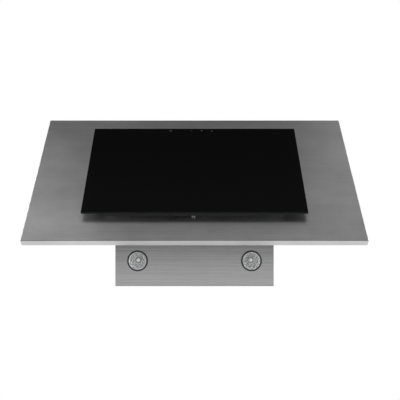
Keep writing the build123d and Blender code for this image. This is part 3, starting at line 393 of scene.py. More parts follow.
def dress(material, *names):
    """Give CAD nodes a material in all their slots."""
    for name in names:
        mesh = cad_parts[name].data
        mesh.materials.clear()
        mesh.materials.append(material)


plate_steel = brushed_steel("plate_steel", (0.60, 0.60, 0.605, 1.0), across_grain, turned_grain,
                            streaks=0.65, clouds=0.7, shine=0.36, drawn_out=0.5, turn=0.25)
dress(plate_steel, "front_plate")


# Body and chimney: the same steel, bent into a box and into two sleeves, but a little darker than the
# plate's: painted shade that darkens the lamp face. The chimney's grain stands upright, and on the body it
# runs across and carries on round the sides.
# painted shade: a copy of the plate's steel made darker, so the lamp face looks darker
shaded_sheet_metal = (0.56, 0.56, 0.565, 1.0)
body_steel = brushed_steel("body_steel", shaded_sheet_metal, across_grain, turned_grain,
                           streaks=0.9, clouds=0.35, shine=0.20)
dress(body_steel, "body_shell")
upright_grain = (1400.0, 1400.0, 8.0)
chimney_steel = brushed_steel("chimney_steel", shaded_sheet_metal, upright_grain, upright_grain,
                              streaks=0.5, clouds=0.3, shine=0.28)
dress(chimney_steel, "chimney_lower", "chimney_upper")


# Hidden sheet: stiffeners, frames, back, top and brackets, folded from galvanised steel with its faint
# crystal pattern and spot-welded or screwed together.
crystal_scale, haze_scale, crystal_shine, haze_shine = 110.0, 300.0, 0.2, 0.5
crystal_tones = ((0.40, 0.42, 0.43, 1.0), (0.62, 0.64, 0.65, 1.0))


def crystal_zinc():
    """Zinc crystals: cells of slightly different greys and roughness under fine noise."""
    material, nodes, links, shader = finish("zinc_sheet")
    place = own_place(nodes)
    cells = nodes.new("ShaderNodeTexVoronoi")
    cells.inputs["Scale"].default_value = crystal_scale
    links.new(place, cells.inputs["Vector"])
    grey = nodes.new("ShaderNodeValToRGB")
    for stop, tone in zip(grey.color_ramp.elements, crystal_tones):
        stop.color = tone
    split = nodes.new("ShaderNodeSeparateColor")
    links.new(cells.outputs["Color"], split.inputs["Color"])
    links.new(split.outputs["Red"], grey.inputs["Fac"])
    links.new(grey.outputs["Color"], shader.inputs["Base Color"])
    haze = math_node("MULTIPLY", noise_node(place, haze_scale, 3.0), haze_shine)
    links.new(added(haze, split.outputs["Green"], crystal_shine), shader.inputs["Roughness"])
    shader.inputs["Metallic"].default_value = 0.9
    return material


dress(crystal_zinc(), "plate_stiffeners", "suction_frame", "back_panel", "top_panel", "outlet_collar",
      "inlet_rings", "motor_bracket", "capacitor_band", "chimney_bracket")


# Glass panel: one sheet of toughened black glass with ground edges, glued onto its tray. It is wiped
# clean but for a few faint smears.
slope = sqrt(0.5)


def out_of_slope(vector):
    """How far a vector points straight out of the 45 degree slope. For a face's direction this is 1 where it
    lies flat on the panel, minus 1 on its back and 0 on its edges."""
    lean, links = node_beside(vector, "ShaderNodeVectorMath")
    lean.operation = "DOT_PRODUCT"
    lean.inputs[1].default_value = (0.0, -slope, -slope)
    links.new(vector, lean.inputs[0])
    return lean.outputs["Value"]


def mixed(factor, first, second):
    """Two colours mixed by a factor output, each colour an output or three numbers."""
    node, links = node_beside(factor, "ShaderNodeMix")
    node.data_type = "RGBA"
    links.new(factor, node.inputs["Factor"])
    for value, socket in ((first, node.inputs[6]), (second, node.inputs[7])):
        if isinstance(value, tuple):
            socket.default_value = (*value, 1.0)
        else:
            links.new(value, socket)
    return node.outputs[2]


smear_stretch, smear_span, polish_range = (5.0, 14.0, 14.0), (0.35, 0.75), (0.03, 0.09)
edge_span, ground_shine, ground_grey = (0.80, 0.95), 0.4, (0.026, 0.030, 0.029)
glass_inks = ((0.0010, 0.0010, 0.0011), (0.0021, 0.0021, 0.0023))


def black_glass():
    """Deep black under a clear polished face, with faint smears in the polish and grey ground edges."""
    material, nodes, links, shader = finish("black_glass")
    coordinates = nodes.new("ShaderNodeTexCoord")
    smeared_place = stretched(coordinates.outputs["Object"], smear_stretch)
    smears = noise_node(smeared_place, 1.0, 4.0, 0.6)
    lean = math_node("ABSOLUTE", out_of_slope(coordinates.outputs["Normal"]))
    edge = ranged(lean, edge_span, (1.0, 0.0))
    ink = mixed(smears, *glass_inks)
    links.new(mixed(edge, ink, ground_grey), shader.inputs["Base Color"])
    polish = ranged(smears, smear_span, polish_range)
    links.new(added(polish, edge, ground_shine), shader.inputs["Roughness"])
    shader.inputs["Specular IOR Level"].default_value = 0.11
    return material


dress(black_glass(), "glass_cover")


# Touch marks: four plain signs screen-printed in pale ink near the glass's upper edge, over the touch
# module: on and off, less, more, and light.
edge_depth, edge_height = 0.120, -0.290


def on_slope(across, rise, stand):
    """Points from sizes across the hood, up the slope from the plate's lower edge, and out from its face:
    rise plus stand leads away from the wall and rise less stand up, each times the root of a half."""
    across, rise, stand = np.broadcast_arrays(across, rise, stand)
    depth = edge_depth + (rise + stand) * slope
    return np.stack([across, -depth, (rise - stand) * slope + edge_height], axis=-1)


def skin(rings, loop=False, caps=False):
    """Points and faces over a grid of closed rings, each joined to the next, and the last to the first if it
    loops. Caps close both ends."""
    rows, columns = rings.shape[:2]
    index = np.arange(rows * columns).reshape(rows, columns)
    joined = np.concatenate([index, index[:1]]) if loop else index
    beside = np.roll(joined, -1, axis=1)
    blocks = [np.stack([joined[:-1], beside[:-1], beside[1:], joined[1:]], axis=-1).reshape(-1, 4)]
    if caps:
        blocks += [index[:1, ::-1], index[-1:]]
    return rings, blocks


def stroke(path, width, low, high):
    """A printed line or flat strip: a path moved half a width to each side, at a low and a high level."""
    path = np.asarray(path, float)
    along = np.gradient(path, axis=0)
    side = np.stack([-along[:, 1], along[:, 0]], axis=1) / np.linalg.norm(along, axis=1)[:, None] * width / 2
    left, right = path + side, path - side
    corners = ((left, low), (right, low), (right, high), (left, high))
    rings = [on_slope(edge[:, 0], edge[:, 1], level) for edge, level in corners]
    return skin(np.stack(rings, axis=1), caps=True)


def arc(centre, radius, start, end, count=17):
    """Points on an arc, its angles in degrees from the upward direction."""
    turn = np.radians(np.linspace(start, end, count))
    return np.stack([centre[0] + radius * np.sin(turn), centre[1] + radius * np.cos(turn)], axis=1)


glass_face, ink_depth = 0.0205, 0.00006
mark_rise, mark_line, mark_half = 0.4226, 0.0007, 0.0028


def printed(*paths):
    """Strokes in pale ink on the glass."""
    return [stroke(path, mark_line, glass_face, glass_face + ink_depth) for path in paths]


def line(x0, u0, x1, u1):
    """A straight line of three points, from sizes across the hood and up from the marks' middle."""
    return np.linspace((x0, mark_rise + u0), (x1, mark_rise + u1), 3)


power_x, less_x, more_x, light_x = -0.0715, -0.0096, 0.0216, 0.0525
power_gap, power_bar = 35, (0.0005, 0.0035)
light_drop, light_radius, ray_start, ray_end = 0.001, 0.0014, 0.0023, 0.0038
rays_at = np.radians((-70, 0, 70))
marks = printed(
    arc((power_x, mark_rise), mark_half, power_gap, 360 - power_gap),
    line(power_x, power_bar[0], power_x, power_bar[1]),
    line(less_x - mark_half, 0.0, less_x + mark_half, 0.0),
    line(more_x - mark_half, 0.0, more_x + mark_half, 0.0),
    line(more_x, -mark_half, more_x, -mark_line / 2), line(more_x, mark_line / 2, more_x, mark_half),
    arc((light_x, mark_rise - light_drop), light_radius, 5, 355),
    *[line(light_x + ray_start * x, ray_start * u - light_drop,
           light_x + ray_end * x, ray_end * u - light_drop)
      for x, u in np.stack([np.sin(rays_at), np.cos(rays_at)], axis=1)],
)
speck_scale, ink_greys = 3000.0, ((0.15, 0.15, 0.15), (0.20, 0.20, 0.20))
mark_ink, nodes, links, shader = finish("mark_ink")
specks = noise_node(own_place(nodes), speck_scale, 2.0)
links.new(mixed(specks, *ink_greys), shader.inputs["Base Color"])
shader.inputs["Roughness"].default_value = 0.55
touch_marks = mesh_piece("touch_marks", marks, mark_ink)
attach(touch_marks, "panel")


# Tray, bumpers and touch module behind the glass: sheet steel sprayed black where it shows and bare on
# its back, rubber feet, and a moulded case with its lacquered board.
patch_scale, drift_scale, darker, paler = 14.0, 22.0, 0.82, 1.18


def moulded_grain():
    """Fine moulded or sprayed texture: two noises make a height and a slight change of shine."""
    group, given, put = effect("moulded_grain", {"Scale": 900.0, "Shine": 0.5, "Spread": 0.1},
                               {"Roughness": "Float", "Height": "Float"})
    nodes, links = group.nodes, group.links
    place = own_place(nodes)
    fine = nodes.new("ShaderNodeTexNoise")
    links.new(place, fine.inputs["Vector"])
    links.new(given.outputs["Scale"], fine.inputs["Scale"])
    patches = noise_node(place, patch_scale, 3.0)
    lift = centred(patches, given.outputs["Spread"])
    links.new(math_node("ADD", given.outputs["Shine"], lift), put.inputs["Roughness"])
    links.new(fine.outputs["Fac"], put.inputs["Height"])
    return group


grained = moulded_grain()


def coated(name, colour, scale, shine, spread=0.1, depth=0.00003, metallic=0.0):
    """A sprayed, plated or moulded finish of one colour that shifts a little, with fine grain."""
    material, nodes, links, shader = finish(name)
    grain = place_effect(nodes, grained, Scale=scale, Shine=shine, Spread=spread)
    drift = noise_node(own_place(nodes), drift_scale, 4.0)
    low, high = (tuple(part * change for part in colour) for change in (darker, paler))
    links.new(mixed(drift, low, high), shader.inputs["Base Color"])
    links.new(grain.outputs["Roughness"], shader.inputs["Roughness"])
    bump(grain.outputs["Height"], depth, shader)
    shader.inputs["Metallic"].default_value = metallic
    return material


back_span, back_shine, spray_depth = (-0.95, -0.80), 0.3, 0.00003
spray_tones = ((0.026, 0.026, 0.027), (0.038, 0.038, 0.039))
sheet_tones = ((0.62, 0.63, 0.64), (0.72, 0.73, 0.74))


def tray_finish():
    """Black spray on the tray's edges, and bare grey sheet on the back that faces the plate."""
    material, nodes, links, shader = finish("tray_finish")
    coordinates = nodes.new("ShaderNodeTexCoord")
    back = ranged(out_of_slope(coordinates.outputs["Normal"]), back_span, (1.0, 0.0))
    drift = noise_node(coordinates.outputs["Object"], 30.0, 4.0)
    spray = mixed(drift, *spray_tones)
    sheet = mixed(drift, *sheet_tones)
    links.new(mixed(back, spray, sheet), shader.inputs["Base Color"])
    links.new(math_node("MULTIPLY", back, back_shine), shader.inputs["Metallic"])
    grain = place_effect(nodes, grained, Scale=1100.0, Shine=0.42, Spread=0.1)
    links.new(grain.outputs["Roughness"], shader.inputs["Roughness"])
    bump(grain.outputs["Height"], spray_depth, shader)
    return material


dress(tray_finish(), "panel_tray")
black_rubber = coated("black_rubber", (0.028, 0.028, 0.028), scale=1600.0, shine=0.75, spread=0.15)
dress(black_rubber, "panel_bumpers", "blower_gasket", "motor_bushes")
black_plastic = coated("black_plastic", (0.03, 0.03, 0.031), scale=1300.0, shine=0.48, spread=0.12)
dress(black_plastic, "touch_case", "clip_socket", "filter_latch", "cable_gland", "control_box", "control_lid",
      "scroll_left", "scroll_right", "impeller", "damper_flap_left", "damper_flap_right")


# Hinges, pins, clip and springs: pressed and bent from strip and wire, zinc-plated where they carry the
# panel, and of bright spring steel where they clip and press.
plated = coated("plated_steel", (0.52, 0.52, 0.5), scale=700.0, shine=0.36, spread=0.2, depth=0.00001,
                metallic=1.0)
dress(plated, "hinge_brackets", "hinge_arms")
spring_steel = coated("spring_steel", (0.58, 0.58, 0.58), scale=500.0, shine=0.25, spread=0.15,
                      depth=0.00001, metallic=1.0)
dress(spring_steel, "lamp_clamps", "latch_spring", "hinge_pins", "damper_pin", "motor_shaft",
      "motor_bearings")

clip_place, prong_place, clip_foot, foot_blend = -0.003, 0.00265, 0.0063, 0.0002
# painted shade: the near-black on the clip's foot
strip_edge, clip_painted_shade = (0.0013, 0.0016), (0.03, 0.03, 0.031)
clip_tones, clip_shine = ((0.86, 0.86, 0.85), (0.96, 0.96, 0.95)), (0.35, 0.5)


def clip_finish():
    """Bright prongs, and the strips of the foot that they spring from, while the rest of the foot is painted
    black as shade, so that the two prongs stand apart. The places across the hood and out from the plate's
    face tell them apart."""
    material, nodes, links, shader = finish("clip_steel")
    coordinates = own_place(nodes)
    place = separated(coordinates)
    edge_stand = (edge_depth - edge_height) * slope
    stand = math_node("SUBTRACT", out_of_slope(coordinates), edge_stand)
    foot = ranged(stand, (clip_foot, clip_foot + foot_blend))
    across = math_node("ABSOLUTE", math_node("SUBTRACT", place["X"], clip_place))
    beside = math_node("ABSOLUTE", math_node("SUBTRACT", across, prong_place))
    bare = ranged(beside, strip_edge)
    drift = noise_node(coordinates, 300.0, 3.0)
    # painted shade: black on the foot beside and between the prongs, where shade falls under the panel
    painted_shade = math_node("MULTIPLY", foot, bare)
    links.new(mixed(painted_shade, mixed(drift, *clip_tones), clip_painted_shade), shader.inputs["Base Color"])
    links.new(ranged(drift, (0.3, 0.7), clip_shine), shader.inputs["Roughness"])
    shader.inputs["Metallic"].default_value = 0.25
    return material


dress(clip_finish(), "panel_clip")


# Grease filter: a drawn aluminium rim that holds two nets of expanded sheet, slit and pulled open into
# diamonds, and two layers of crumpled foil net between them. The nets are cut out round the latch.
aluminium = coated("filter_aluminium", (0.68, 0.69, 0.70), scale=500.0, shine=0.38, spread=0.2, metallic=1.0)
dress(aluminium, "filter_frame")
net_reach, latch_cut = ((-0.1944, 0.1944), (0.0962, 0.2970)), (0.0298, 0.1296)
wave_across, wave_slant, wave_up = 310, 40, 270


def expanded_net(level, hole, strand, lift, gauge, crumple=0.0):
    """Diamonds on a staggered grid fill the plane, and each holds a smaller one, its hole. The hole's upper
    corner is lifted and its lower one pressed in, and crumpling adds two crossed waves."""
    (left, right), (low, high) = net_reach
    columns, rows = round((right - left) * 2 / hole[0]), round((high - low) * 2 / hole[1])
    half = np.array([(right - left) / columns, (high - low) / rows])
    i, j = np.meshgrid(np.arange(columns + 1), np.arange(rows + 1), indexing="ij")
    inside = (i > 0) & (i < columns) & (j > 0) & (j < rows) & ((i + j) % 2 == 1)
    x, u = left + i * half[0], low + j * half[1]
    inside &= (np.abs(x) - half[0] > latch_cut[0]) | (u - half[1] > latch_cut[1])
    centre = np.stack([x[inside], u[inside]], axis=-1)
    corners = np.array([(-1, 0), (0, -1), (1, 0), (0, 1)]) * half
    draw_in = 1 - strand / 2 / (half[0] * half[1] / np.hypot(*half))
    flat = centre[:, None, :] + np.concatenate([corners, corners * draw_in])[None]
    across, up = flat[..., 0], flat[..., 1]
    height = level + np.array([0, 0, 0, 0, 0, -lift, 0, lift])
    height = height + crumple * np.sin(across * wave_across + wave_slant * up) * np.cos(up * wave_up)
    faces_up, faces_in = (on_slope(across, up, height + side * gauge / 2) for side in (1, -1))
    points = np.concatenate([faces_up, faces_in], axis=1)
    start = np.arange(len(centre))[:, None] * 16
    k, after = np.arange(4), (np.arange(4) + 1) % 4
    quads = ((k, after, after + 4, k + 4), (k + 8, k + 12, after + 12, after + 8),
             (k + 4, after + 4, after + 12, k + 12))
    blocks = [start[..., None] + np.stack(quad, axis=-1)[None] for quad in quads]
    grid, beside = np.pad(inside, 1), ((-1, -1), (1, -1), (1, 1), (-1, 1))
    bare = np.stack([~grid[1 + a: columns + 2 + a, 1 + b: rows + 2 + b][inside] for a, b in beside], axis=-1)
    rim = (start[..., None] + np.stack([k, k + 8, after + 8, after], axis=-1)[None])[bare]
    return points, [block.reshape(-1, 4) for block in blocks] + [rim]


binding_reach, binding_corner, binding_width, binding_depth = 0.001, 0.003, 0.004, 0.0009


def net_binding(level):
    """The strip folded over the nets' cut edge, up one side of the latch, across and down."""
    half, top, low = latch_cut[0] + binding_reach, latch_cut[1] + binding_reach, net_reach[1][0]
    inset, turn = half - binding_corner, top - binding_corner
    path = [(-half, low), (-half, turn), (-inset, top), (inset, top), (half, turn), (half, low)]
    return stroke(path, binding_width, level - binding_depth / 2, level + binding_depth / 2)


net_hole, net_strand, net_lift, net_gauge = (0.0100, 0.0052), 0.0012, 0.00032, 0.0004
for name, level in (("filter_net_front", -0.0035), ("filter_net_back", -0.0105)):
    parts = [expanded_net(level, net_hole, net_strand, net_lift, net_gauge), net_binding(level)]
    net = mesh_piece(name.replace("filter", "expanded"), parts, aluminium, smooth=False)
    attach(net, "hood_body")
    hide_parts(name)
foil = coated("filter_foil", (0.74, 0.75, 0.76), scale=400.0, shine=0.3, spread=0.2, depth=0.00002,
              metallic=1.0)
foil_hole, foil_strand, foil_lift, foil_gauge = (0.0130, 0.0068), 0.0016, 0.0003, 0.0002
layers = [expanded_net(level, foil_hole, foil_strand, foil_lift, foil_gauge, crumple)
          for level, crumple in ((-0.0056, 0.0009), (-0.0083, -0.0009))]
pad = mesh_piece("foil_pad", layers, foil, smooth=False)
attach(pad, "hood_body")
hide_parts("filter_pad")


# Latch spring: a coil of spring steel wire with closed ends, behind the latch, between the latch and the
# frame.
fixed_way = (0.31, 0.17, 0.93)


def wire(path, radius, sides=8):
    """A round wire: a circle set square to the path at each point, its first side turned from a fixed way."""
    path = np.asarray(path, float)
    ahead = np.gradient(path, axis=0)
    ahead /= np.linalg.norm(ahead, axis=1)[:, None]
    first = np.cross(ahead, fixed_way)
    first /= np.linalg.norm(first, axis=1)[:, None]
    second = np.cross(ahead, first)
    turn = np.arange(sides) * 2 * pi / sides
    circles = first[:, None] * np.cos(turn)[:, None] + second[:, None] * np.sin(turn)[:, None]
    return skin(path[:, None] + radius * circles, caps=True)


spring_foot, spring_head = 0.113853, 0.125047
coil_stand, coil_radius, coil_wire, coil_turns, closed_rise = -0.00815, 0.0024, 0.0004, 7, 0.00085


def coil_spring():
    """A wire wound evenly round the slope's direction. It climbs little in its first and last turn, whose
    coils all but touch."""
    turn = np.linspace(0, coil_turns, coil_turns * 24 + 1)
    low, high = spring_foot + coil_wire, spring_head - coil_wire
    climb = (low, low + closed_rise, high - closed_rise, high)
    rise = np.interp(turn, (0, 1, coil_turns - 1, coil_turns), climb)
    across, stand = coil_radius * np.cos(2 * pi * turn), coil_stand + coil_radius * np.sin(2 * pi * turn)
    return wire(on_slope(across, rise, stand), coil_wire)


spring = mesh_piece("latch_coil", [coil_spring()], spring_steel)
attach(spring, "hood_body")
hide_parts("latch_spring")
head_place = tuple(on_slope(0.0, spring_head, coil_stand).tolist())
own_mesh(spring)


# Lamps: a bezel painted near black as the shade in the gap round each lamp, a pressed glass reflector with
# silvered facets, and a ceramic holder. A spring ring inside the bezel holds the lamp in, painted bright as
# the highlight on the lamp's rim.
# painted shade: the bezel's near-black stands for the shaded gap round the lamp
bezel = coated("lamp_bezel", (0.09, 0.09, 0.093), scale=900.0, shine=0.3, depth=0.00001, metallic=0.95)
dress(bezel, "lamp_rings")
lamp_centres = ((-0.1485, -0.066), (0.1485, -0.066))
rim_height, neck_height, base_height = 0.0212, 0.0532, 0.0652
rim_radius, neck_radius, bowl_wall, bowl_power = 0.0242, 0.0095, 0.0012, 0.556
neck_bevel, narrowest = 0.0004, 0.004
facet_rings, facet_sectors, facet_swell = 3, 9, 0.0015
ring_steps, sector_steps = 5, 4


def turned(centre, radius, height):
    """Rings round an upright axis from arrays of radius and height, in the hood's frame."""
    columns = facet_sectors * sector_steps
    angle = np.arange(columns) * 2 * pi / columns
    radius, height = np.broadcast_arrays(radius, np.asarray(height))
    if radius.ndim == 1:
        radius, height = (np.repeat(values[:, None], columns, axis=1) for values in (radius, height))
    return np.stack([centre[0] + radius * np.cos(angle), centre[1] + radius * np.sin(angle),
                     height + edge_height], axis=-1)


def bowl_radius(share):
    """The bowl's outer radius: it narrows by a power of the height still left, from the rim to the neck."""
    return neck_radius + (rim_radius - neck_radius) * (1 - share) ** bowl_power


def faceted_bowl(centre):
    """A bowl with a smooth outside and, inside, rings of pillow-shaped facets set like bricks. Each swells
    inwards as one minus the square of the place across it, times the same along it."""
    outer = np.linspace(0, 1, 13)
    outside = np.concatenate([bowl_radius(outer), [neck_radius - neck_bevel, 0.0]])
    outside_height = np.concatenate([rim_height + (neck_height - rim_height) * outer, [base_height] * 2])
    share = np.linspace(0, 1, facet_rings * ring_steps + 1)[:, None]
    column = np.arange(facet_sectors * sector_steps)[None] / sector_steps
    ring = np.minimum(np.floor(share * facet_rings - 0.0001), facet_rings - 1)
    along = (share * facet_rings - ring) * 2 - 1
    over = ((column + 0.5 * (ring % 2)) % 1.0) * 2 - 1
    swell = facet_swell * (1 - along ** 2) * (1 - over ** 2)
    inside = np.maximum(bowl_radius(share) - bowl_wall - swell, narrowest)
    neck_floor = neck_height - bowl_wall
    inside_height = rim_height + (neck_floor - rim_height) * share + np.zeros_like(inside)
    shut = np.zeros((1, inside.shape[1]))
    inner = turned(centre, np.concatenate([shut + rim_radius, inside, shut]),
                   np.concatenate([shut + rim_height, inside_height, shut + neck_floor]))
    return [skin(turned(centre, outside, outside_height)), skin(inner)]


pin_radius, pin_length, pin_reach = 0.0023, 0.007, 0.005


def pin(centre, across):
    """A turned contact pin with a rounded tip, on the lamp's base."""
    tip = base_height + pin_length
    radius = np.array([0.0, pin_radius, pin_radius, pin_radius * 0.6, 0.0])
    height = np.array([base_height, base_height, tip - pin_radius * 0.6, tip - pin_radius * 0.1, tip])
    return skin(turned((centre[0] + across, centre[1]), radius, height))


silver_tones, silver_shine = ((0.92, 0.92, 0.93), (0.97, 0.97, 0.97)), (0.02, 0.05)
cement_span, cement_grey, cement_shine = (-0.0020, -0.0014), (0.30, 0.29, 0.28), 0.7


def silvered():
    """Silver with a faint change of tone and shine, down to the grey cement in the neck."""
    material, nodes, links, shader = finish("lamp_mirror")
    coordinates = own_place(nodes)
    haze = noise_node(coordinates, 160.0, 3.0)
    span = tuple(neck_height + edge_height + below for below in cement_span)
    cement = ranged(separated(coordinates)["Z"], span)
    silver = mixed(haze, *silver_tones)
    links.new(mixed(cement, silver, cement_grey), shader.inputs["Base Color"])
    shine = ranged(haze, (0.3, 0.7), silver_shine)
    links.new(added(shine, cement, cement_shine), shader.inputs["Roughness"])
    links.new(math_node("SUBTRACT", 1.0, cement), shader.inputs["Metallic"])
    return material


bowls = []
for centre in lamp_centres:
    bowls += faceted_bowl(centre) + [pin(centre, side) for side in (-pin_reach, pin_reach)]
reflectors = mesh_piece("faceted_reflectors", bowls, silvered())
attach(reflectors, "hood_body")
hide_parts("lamp_reflectors")

ring_wire, ring_radius, ring_height, ring_gap = 0.0008, 0.0225, 0.0200, 0.25


def ring_path(centre):
    """A flat circle with a gap, under the lamp's rim."""
    turn = np.linspace(ring_gap / 2, 2 * pi - ring_gap / 2, 73)
    height = np.full(len(turn), ring_height - ring_wire + edge_height)
    return np.stack([centre[0] + ring_radius * np.cos(turn), centre[1] + ring_radius * np.sin(turn), height],
                    axis=1)


# painted highlight: the ring's pale, half-metallic grey stands for the bright rim of the lamp
painted_highlight_wire = coated("painted_highlight_wire", (0.83, 0.83, 0.83), scale=400.0, shine=0.35, depth=0.00001, metallic=0.5)
rings = [wire(ring_path(centre), ring_wire) for centre in lamp_centres]
spring_rings = mesh_piece("spring_rings", rings, painted_highlight_wire)
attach(spring_rings, "hood_body")

filament_turns, filament_length, filament_radius, filament_wire = 14, 0.0044, 0.0007, 0.00012
filament_height, pinch_height, leg_reach, leg_wire = 0.0425, 0.0515, 0.0019, 0.00015


def filament(centre):
    """A tungsten coil of fourteen turns between two legs that run up into the pinch."""
    turn = np.linspace(0, filament_turns * 2 * pi, filament_turns * 10)
    span = turn / turn[-1]
    coil = np.stack([centre[0] + (span - 0.5) * filament_length, centre[1] + filament_radius * np.cos(turn),
                     filament_height + edge_height + filament_radius * np.sin(turn)], axis=1)
    pinch = pinch_height + edge_height
    legs = [wire(np.linspace(coil[end], (centre[0] + side, centre[1], pinch), 4), leg_wire, 6)
            for end, side in ((0, -leg_reach), (-1, leg_reach))]
    return [wire(coil, filament_wire, 5)] + legs


coils = [part for centre in lamp_centres for part in filament(centre)]
filaments = mesh_piece("filaments", coils, spring_steel)
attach(filaments, "hood_body")


glass_tones, mould_depth = ((0.92, 0.94, 0.94), (0.97, 0.98, 0.98)), 0.00002


def lamp_glass(name, roughness, clearness):
    """Lamp glass with faint mould waves: clear, or frosted until nothing shows through."""
    material, nodes, links, shader = finish(name)
    place = own_place(nodes)
    waves = noise_node(place, 150.0, 2.0)
    links.new(mixed(waves, *glass_tones), shader.inputs["Base Color"])
    bump(waves, mould_depth, shader)
    shader.inputs["Roughness"].default_value = roughness
    shader.inputs["Transmission Weight"].default_value = clearness
    return material


dress(lamp_glass("lamp_glass", roughness=0.02, clearness=1.0), "lamp_lenses")
dress(lamp_glass("capsule_glass", roughness=0.5, clearness=0.0), "lamp_capsules")
ceramic = coated("lamp_ceramic", (0.80, 0.78, 0.72), scale=900.0, shine=0.6)
dress(ceramic, "lamp_holders")


# Screws: plated pan-head self-tapping screws with cross recesses. Each stands where the CAD node has its
# plain one, whose axis and head are read from that solid.
point_grid = 1e5


def separate_solids(name):
    """The separate solids of a CAD node, as arrays of points: the lowest label of each triangle is passed on
    to its corners until none changes."""
    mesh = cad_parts[name].data
    points = np.empty(len(mesh.vertices) * 3)
    mesh.vertices.foreach_get("co", points)
    corners = np.empty(len(mesh.loops), int)
    mesh.loops.foreach_get("vertex_index", corners)
    cells = np.round(points.reshape(-1, 3) * point_grid).astype(int)
    _, first, same = np.unique(cells, axis=0, return_index=True, return_inverse=True)
    triangles = same.reshape(-1)[corners].reshape(-1, 3)
    labels = np.arange(len(first))
    changed = True
    while changed:
        passed = labels.copy()
        np.minimum.at(passed, triangles.ravel(), np.repeat(labels[triangles].min(axis=1), 3))
        changed = bool((passed != labels).any())
        labels = passed
    points = points.reshape(-1, 3)[first]
    return [points[labels == label] for label in np.unique(labels)]


recess_arm, recess_half = 0.00175, 0.00045
tip_angle = np.arctan(recess_half / recess_arm)
quarter = np.array([0.0, tip_angle, radians(28), radians(45), radians(62), pi / 2 - tip_angle])
screw_angles = np.concatenate([quarter + k * pi / 2 for k in range(4)])
fold = np.minimum(screw_angles % (pi / 2), pi / 2 - screw_angles % (pi / 2))
arm_end, arm_side = recess_arm / np.cos(fold), recess_half / np.sin(np.maximum(fold, 0.1))
recess_edge = np.where(fold <= tip_angle + 1e-9, arm_end, arm_side)
recess_rings = ((0.0, -0.0012), (0.6, -0.0011), (1.0, -0.00012))
screw_profile = ((0.0021, -0.00028), (0.00265, -0.0007), (0.0030, -0.0014), (0.0030, -0.0020),
                 (0.0015, -0.0020), (0.0015, -0.0080), (0.0, -0.0090))
head_reach = 0.0025


def cross_screw(points):
    """A pan-head screw in place of a plain one: rings for its recess, dome, shank and point, on its axis."""
    middle = points.mean(axis=0)
    axis = np.linalg.svd(points - middle, full_matrices=False)[2][0]
    along = (points - middle) @ axis
    reach = np.linalg.norm(points - middle - along[:, None] * axis, axis=1)
    if along[reach > head_reach].mean() < 0:
        axis, along = -axis, -along
    top = middle + axis * along.max()
    first = np.cross(axis, fixed_way)
    first /= np.linalg.norm(first)
    second = np.cross(axis, first)
    radii = [recess_edge * share for share, _ in recess_rings]
    radii += [np.full(len(screw_angles), radius) for radius, _ in screw_profile]
    levels = [level for _, level in recess_rings + screw_profile]
    spin = np.cos(screw_angles)[:, None] * first + np.sin(screw_angles)[:, None] * second
    rings = [top + radius[:, None] * spin + level * axis for radius, level in zip(radii, levels)]
    return skin(np.stack(rings))


screw_bodies = {"casing_screws": "hood_body", "panel_screws": "panel", "bracket_screws": "upper_chimney"}
for name, body in screw_bodies.items():
    screws = mesh_piece("cross_" + name, [cross_screw(solid) for solid in separate_solids(name)], plated)
    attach(screws, body)
    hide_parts(name)


# Motor: cast end caps over a stack of punched laminations, with a bundle of varnished copper end turns
# wound on each side of it.
cast = coated("motor_cast", (0.55, 0.55, 0.56), scale=700.0, shine=0.5, spread=0.15, depth=0.00006,
              metallic=0.9)
dress(cast, "motor_caps")
sheet_pitch, ridge_depth = 0.0005, 0.00004
stack_tones = ((0.17, 0.17, 0.18), (0.27, 0.25, 0.24))


def laminated():
    """Punched sheets: a fine ridge every half millimetre along the shaft, on dark steel with rust bloom."""
    material, nodes, links, shader = finish("lamination")
    coordinates = own_place(nodes)
    place = separated(coordinates)
    ridges = math_node("SINE", math_node("MULTIPLY", place["X"], 2 * pi / sheet_pitch))
    bloom = noise_node(coordinates, 120.0, 4.0)
    links.new(mixed(bloom, *stack_tones), shader.inputs["Base Color"])
    bump(ridges, ridge_depth, shader)
    shader.inputs["Metallic"].default_value = 0.8
    shader.inputs["Roughness"].default_value = 0.5
    return material


dress(laminated(), "motor_stator", "motor_rotor")
copper = coated("copper_wire", (0.45, 0.18, 0.07), scale=900.0, shine=0.35, depth=0.00008, metallic=0.9)
motor_axis = (-0.189, -0.056)
turn_count, turn_radius, turn_bulge, turn_inset = 26, 0.0295, 0.0060, 0.0006
turn_sides, turn_depth = (0.0242, 0.0638), 0.0038
coil_count, coil_swell, strand_height, strand_slant = 12, 0.0004, 0.00022, 3


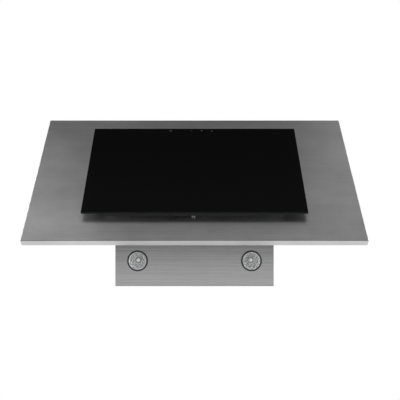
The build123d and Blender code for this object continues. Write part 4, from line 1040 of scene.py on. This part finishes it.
def end_turns(side):
    """Wound end turns: a ring bundle, oval across, whose surface rises over each strand and bulges at each of
    twelve coils."""
    around = np.linspace(0, 2 * pi, 289)[:-1][:, None]
    across = np.linspace(0, 2 * pi, 97)[:-1][None]
    slant = strand_slant * np.sin(coil_count // 2 * around)
    strands = strand_height * np.abs(np.cos(across * turn_count / 2 + slant))
    bulge = turn_bulge - turn_inset + coil_swell * np.cos(coil_count * around) + strands
    radius = turn_radius + bulge * np.cos(across)
    x = side + bulge / turn_bulge * turn_depth * np.sin(across)
    y, z = motor_axis[0] + radius * np.cos(around), motor_axis[1] + radius * np.sin(around)
    return skin(np.stack([x, y, z], axis=-1), loop=True)


windings = mesh_piece("end_turns", [end_turns(side) for side in turn_sides], copper)
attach(windings, "hood_body")
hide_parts("motor_windings")


# Control box and wiring: a lacquered board with its transformer and relay, a pale terminal block, the
# capacitor, and sheathed leads clipped along the body.
board_face, track_scale, track_gap, track_depth = (-0.0131, -0.0128), 140.0, 0.05, 0.00004
track_tones = (("Color1", (0.02, 0.12, 0.05, 1.0)), ("Color2", (0.03, 0.15, 0.07, 1.0)),
               ("Mortar", (0.09, 0.28, 0.13, 1.0)))
part_tones = ((0.02, 0.02, 0.022), (0.05, 0.05, 0.055))


def populated_board():
    """Green lacquer with paler tracks on the board itself, and near-black parts standing off it."""
    material, nodes, links, shader = finish("populated_board")
    coordinates = own_place(nodes)
    place = separated(coordinates)
    tracks = nodes.new("ShaderNodeTexBrick")
    tracks.inputs["Scale"].default_value = track_scale
    tracks.inputs["Mortar Size"].default_value = track_gap
    for title, tone in track_tones:
        tracks.inputs[title].default_value = tone
    turned_place = nodes.new("ShaderNodeCombineXYZ")
    links.new(place["X"], turned_place.inputs["X"])
    links.new(place["Z"], turned_place.inputs["Y"])
    links.new(turned_place.outputs["Vector"], tracks.inputs["Vector"])
    stands = ranged(place["Y"], board_face, (1.0, 0.0))
    speckles = noise_node(coordinates, 60.0, 3.0)
    parts = mixed(speckles, *part_tones)
    links.new(mixed(stands, tracks.outputs["Color"], parts), shader.inputs["Base Color"])
    bump(tracks.outputs["Fac"], track_depth, shader)
    shader.inputs["Roughness"].default_value = 0.35
    return material


dress(populated_board(), "control_board")
board = coated("board_green", (0.03, 0.14, 0.07), scale=400.0, shine=0.3, depth=0.00005)
dress(board, "touch_board")
pale = coated("pale_plastic", (0.72, 0.71, 0.68), scale=900.0, shine=0.4)
dress(pale, "terminal_block", "capacitor")
cable = coated("cable_skin", (0.03, 0.03, 0.03), scale=900.0, shine=0.5)
dress(cable, "lamp_leads", "motor_lead")
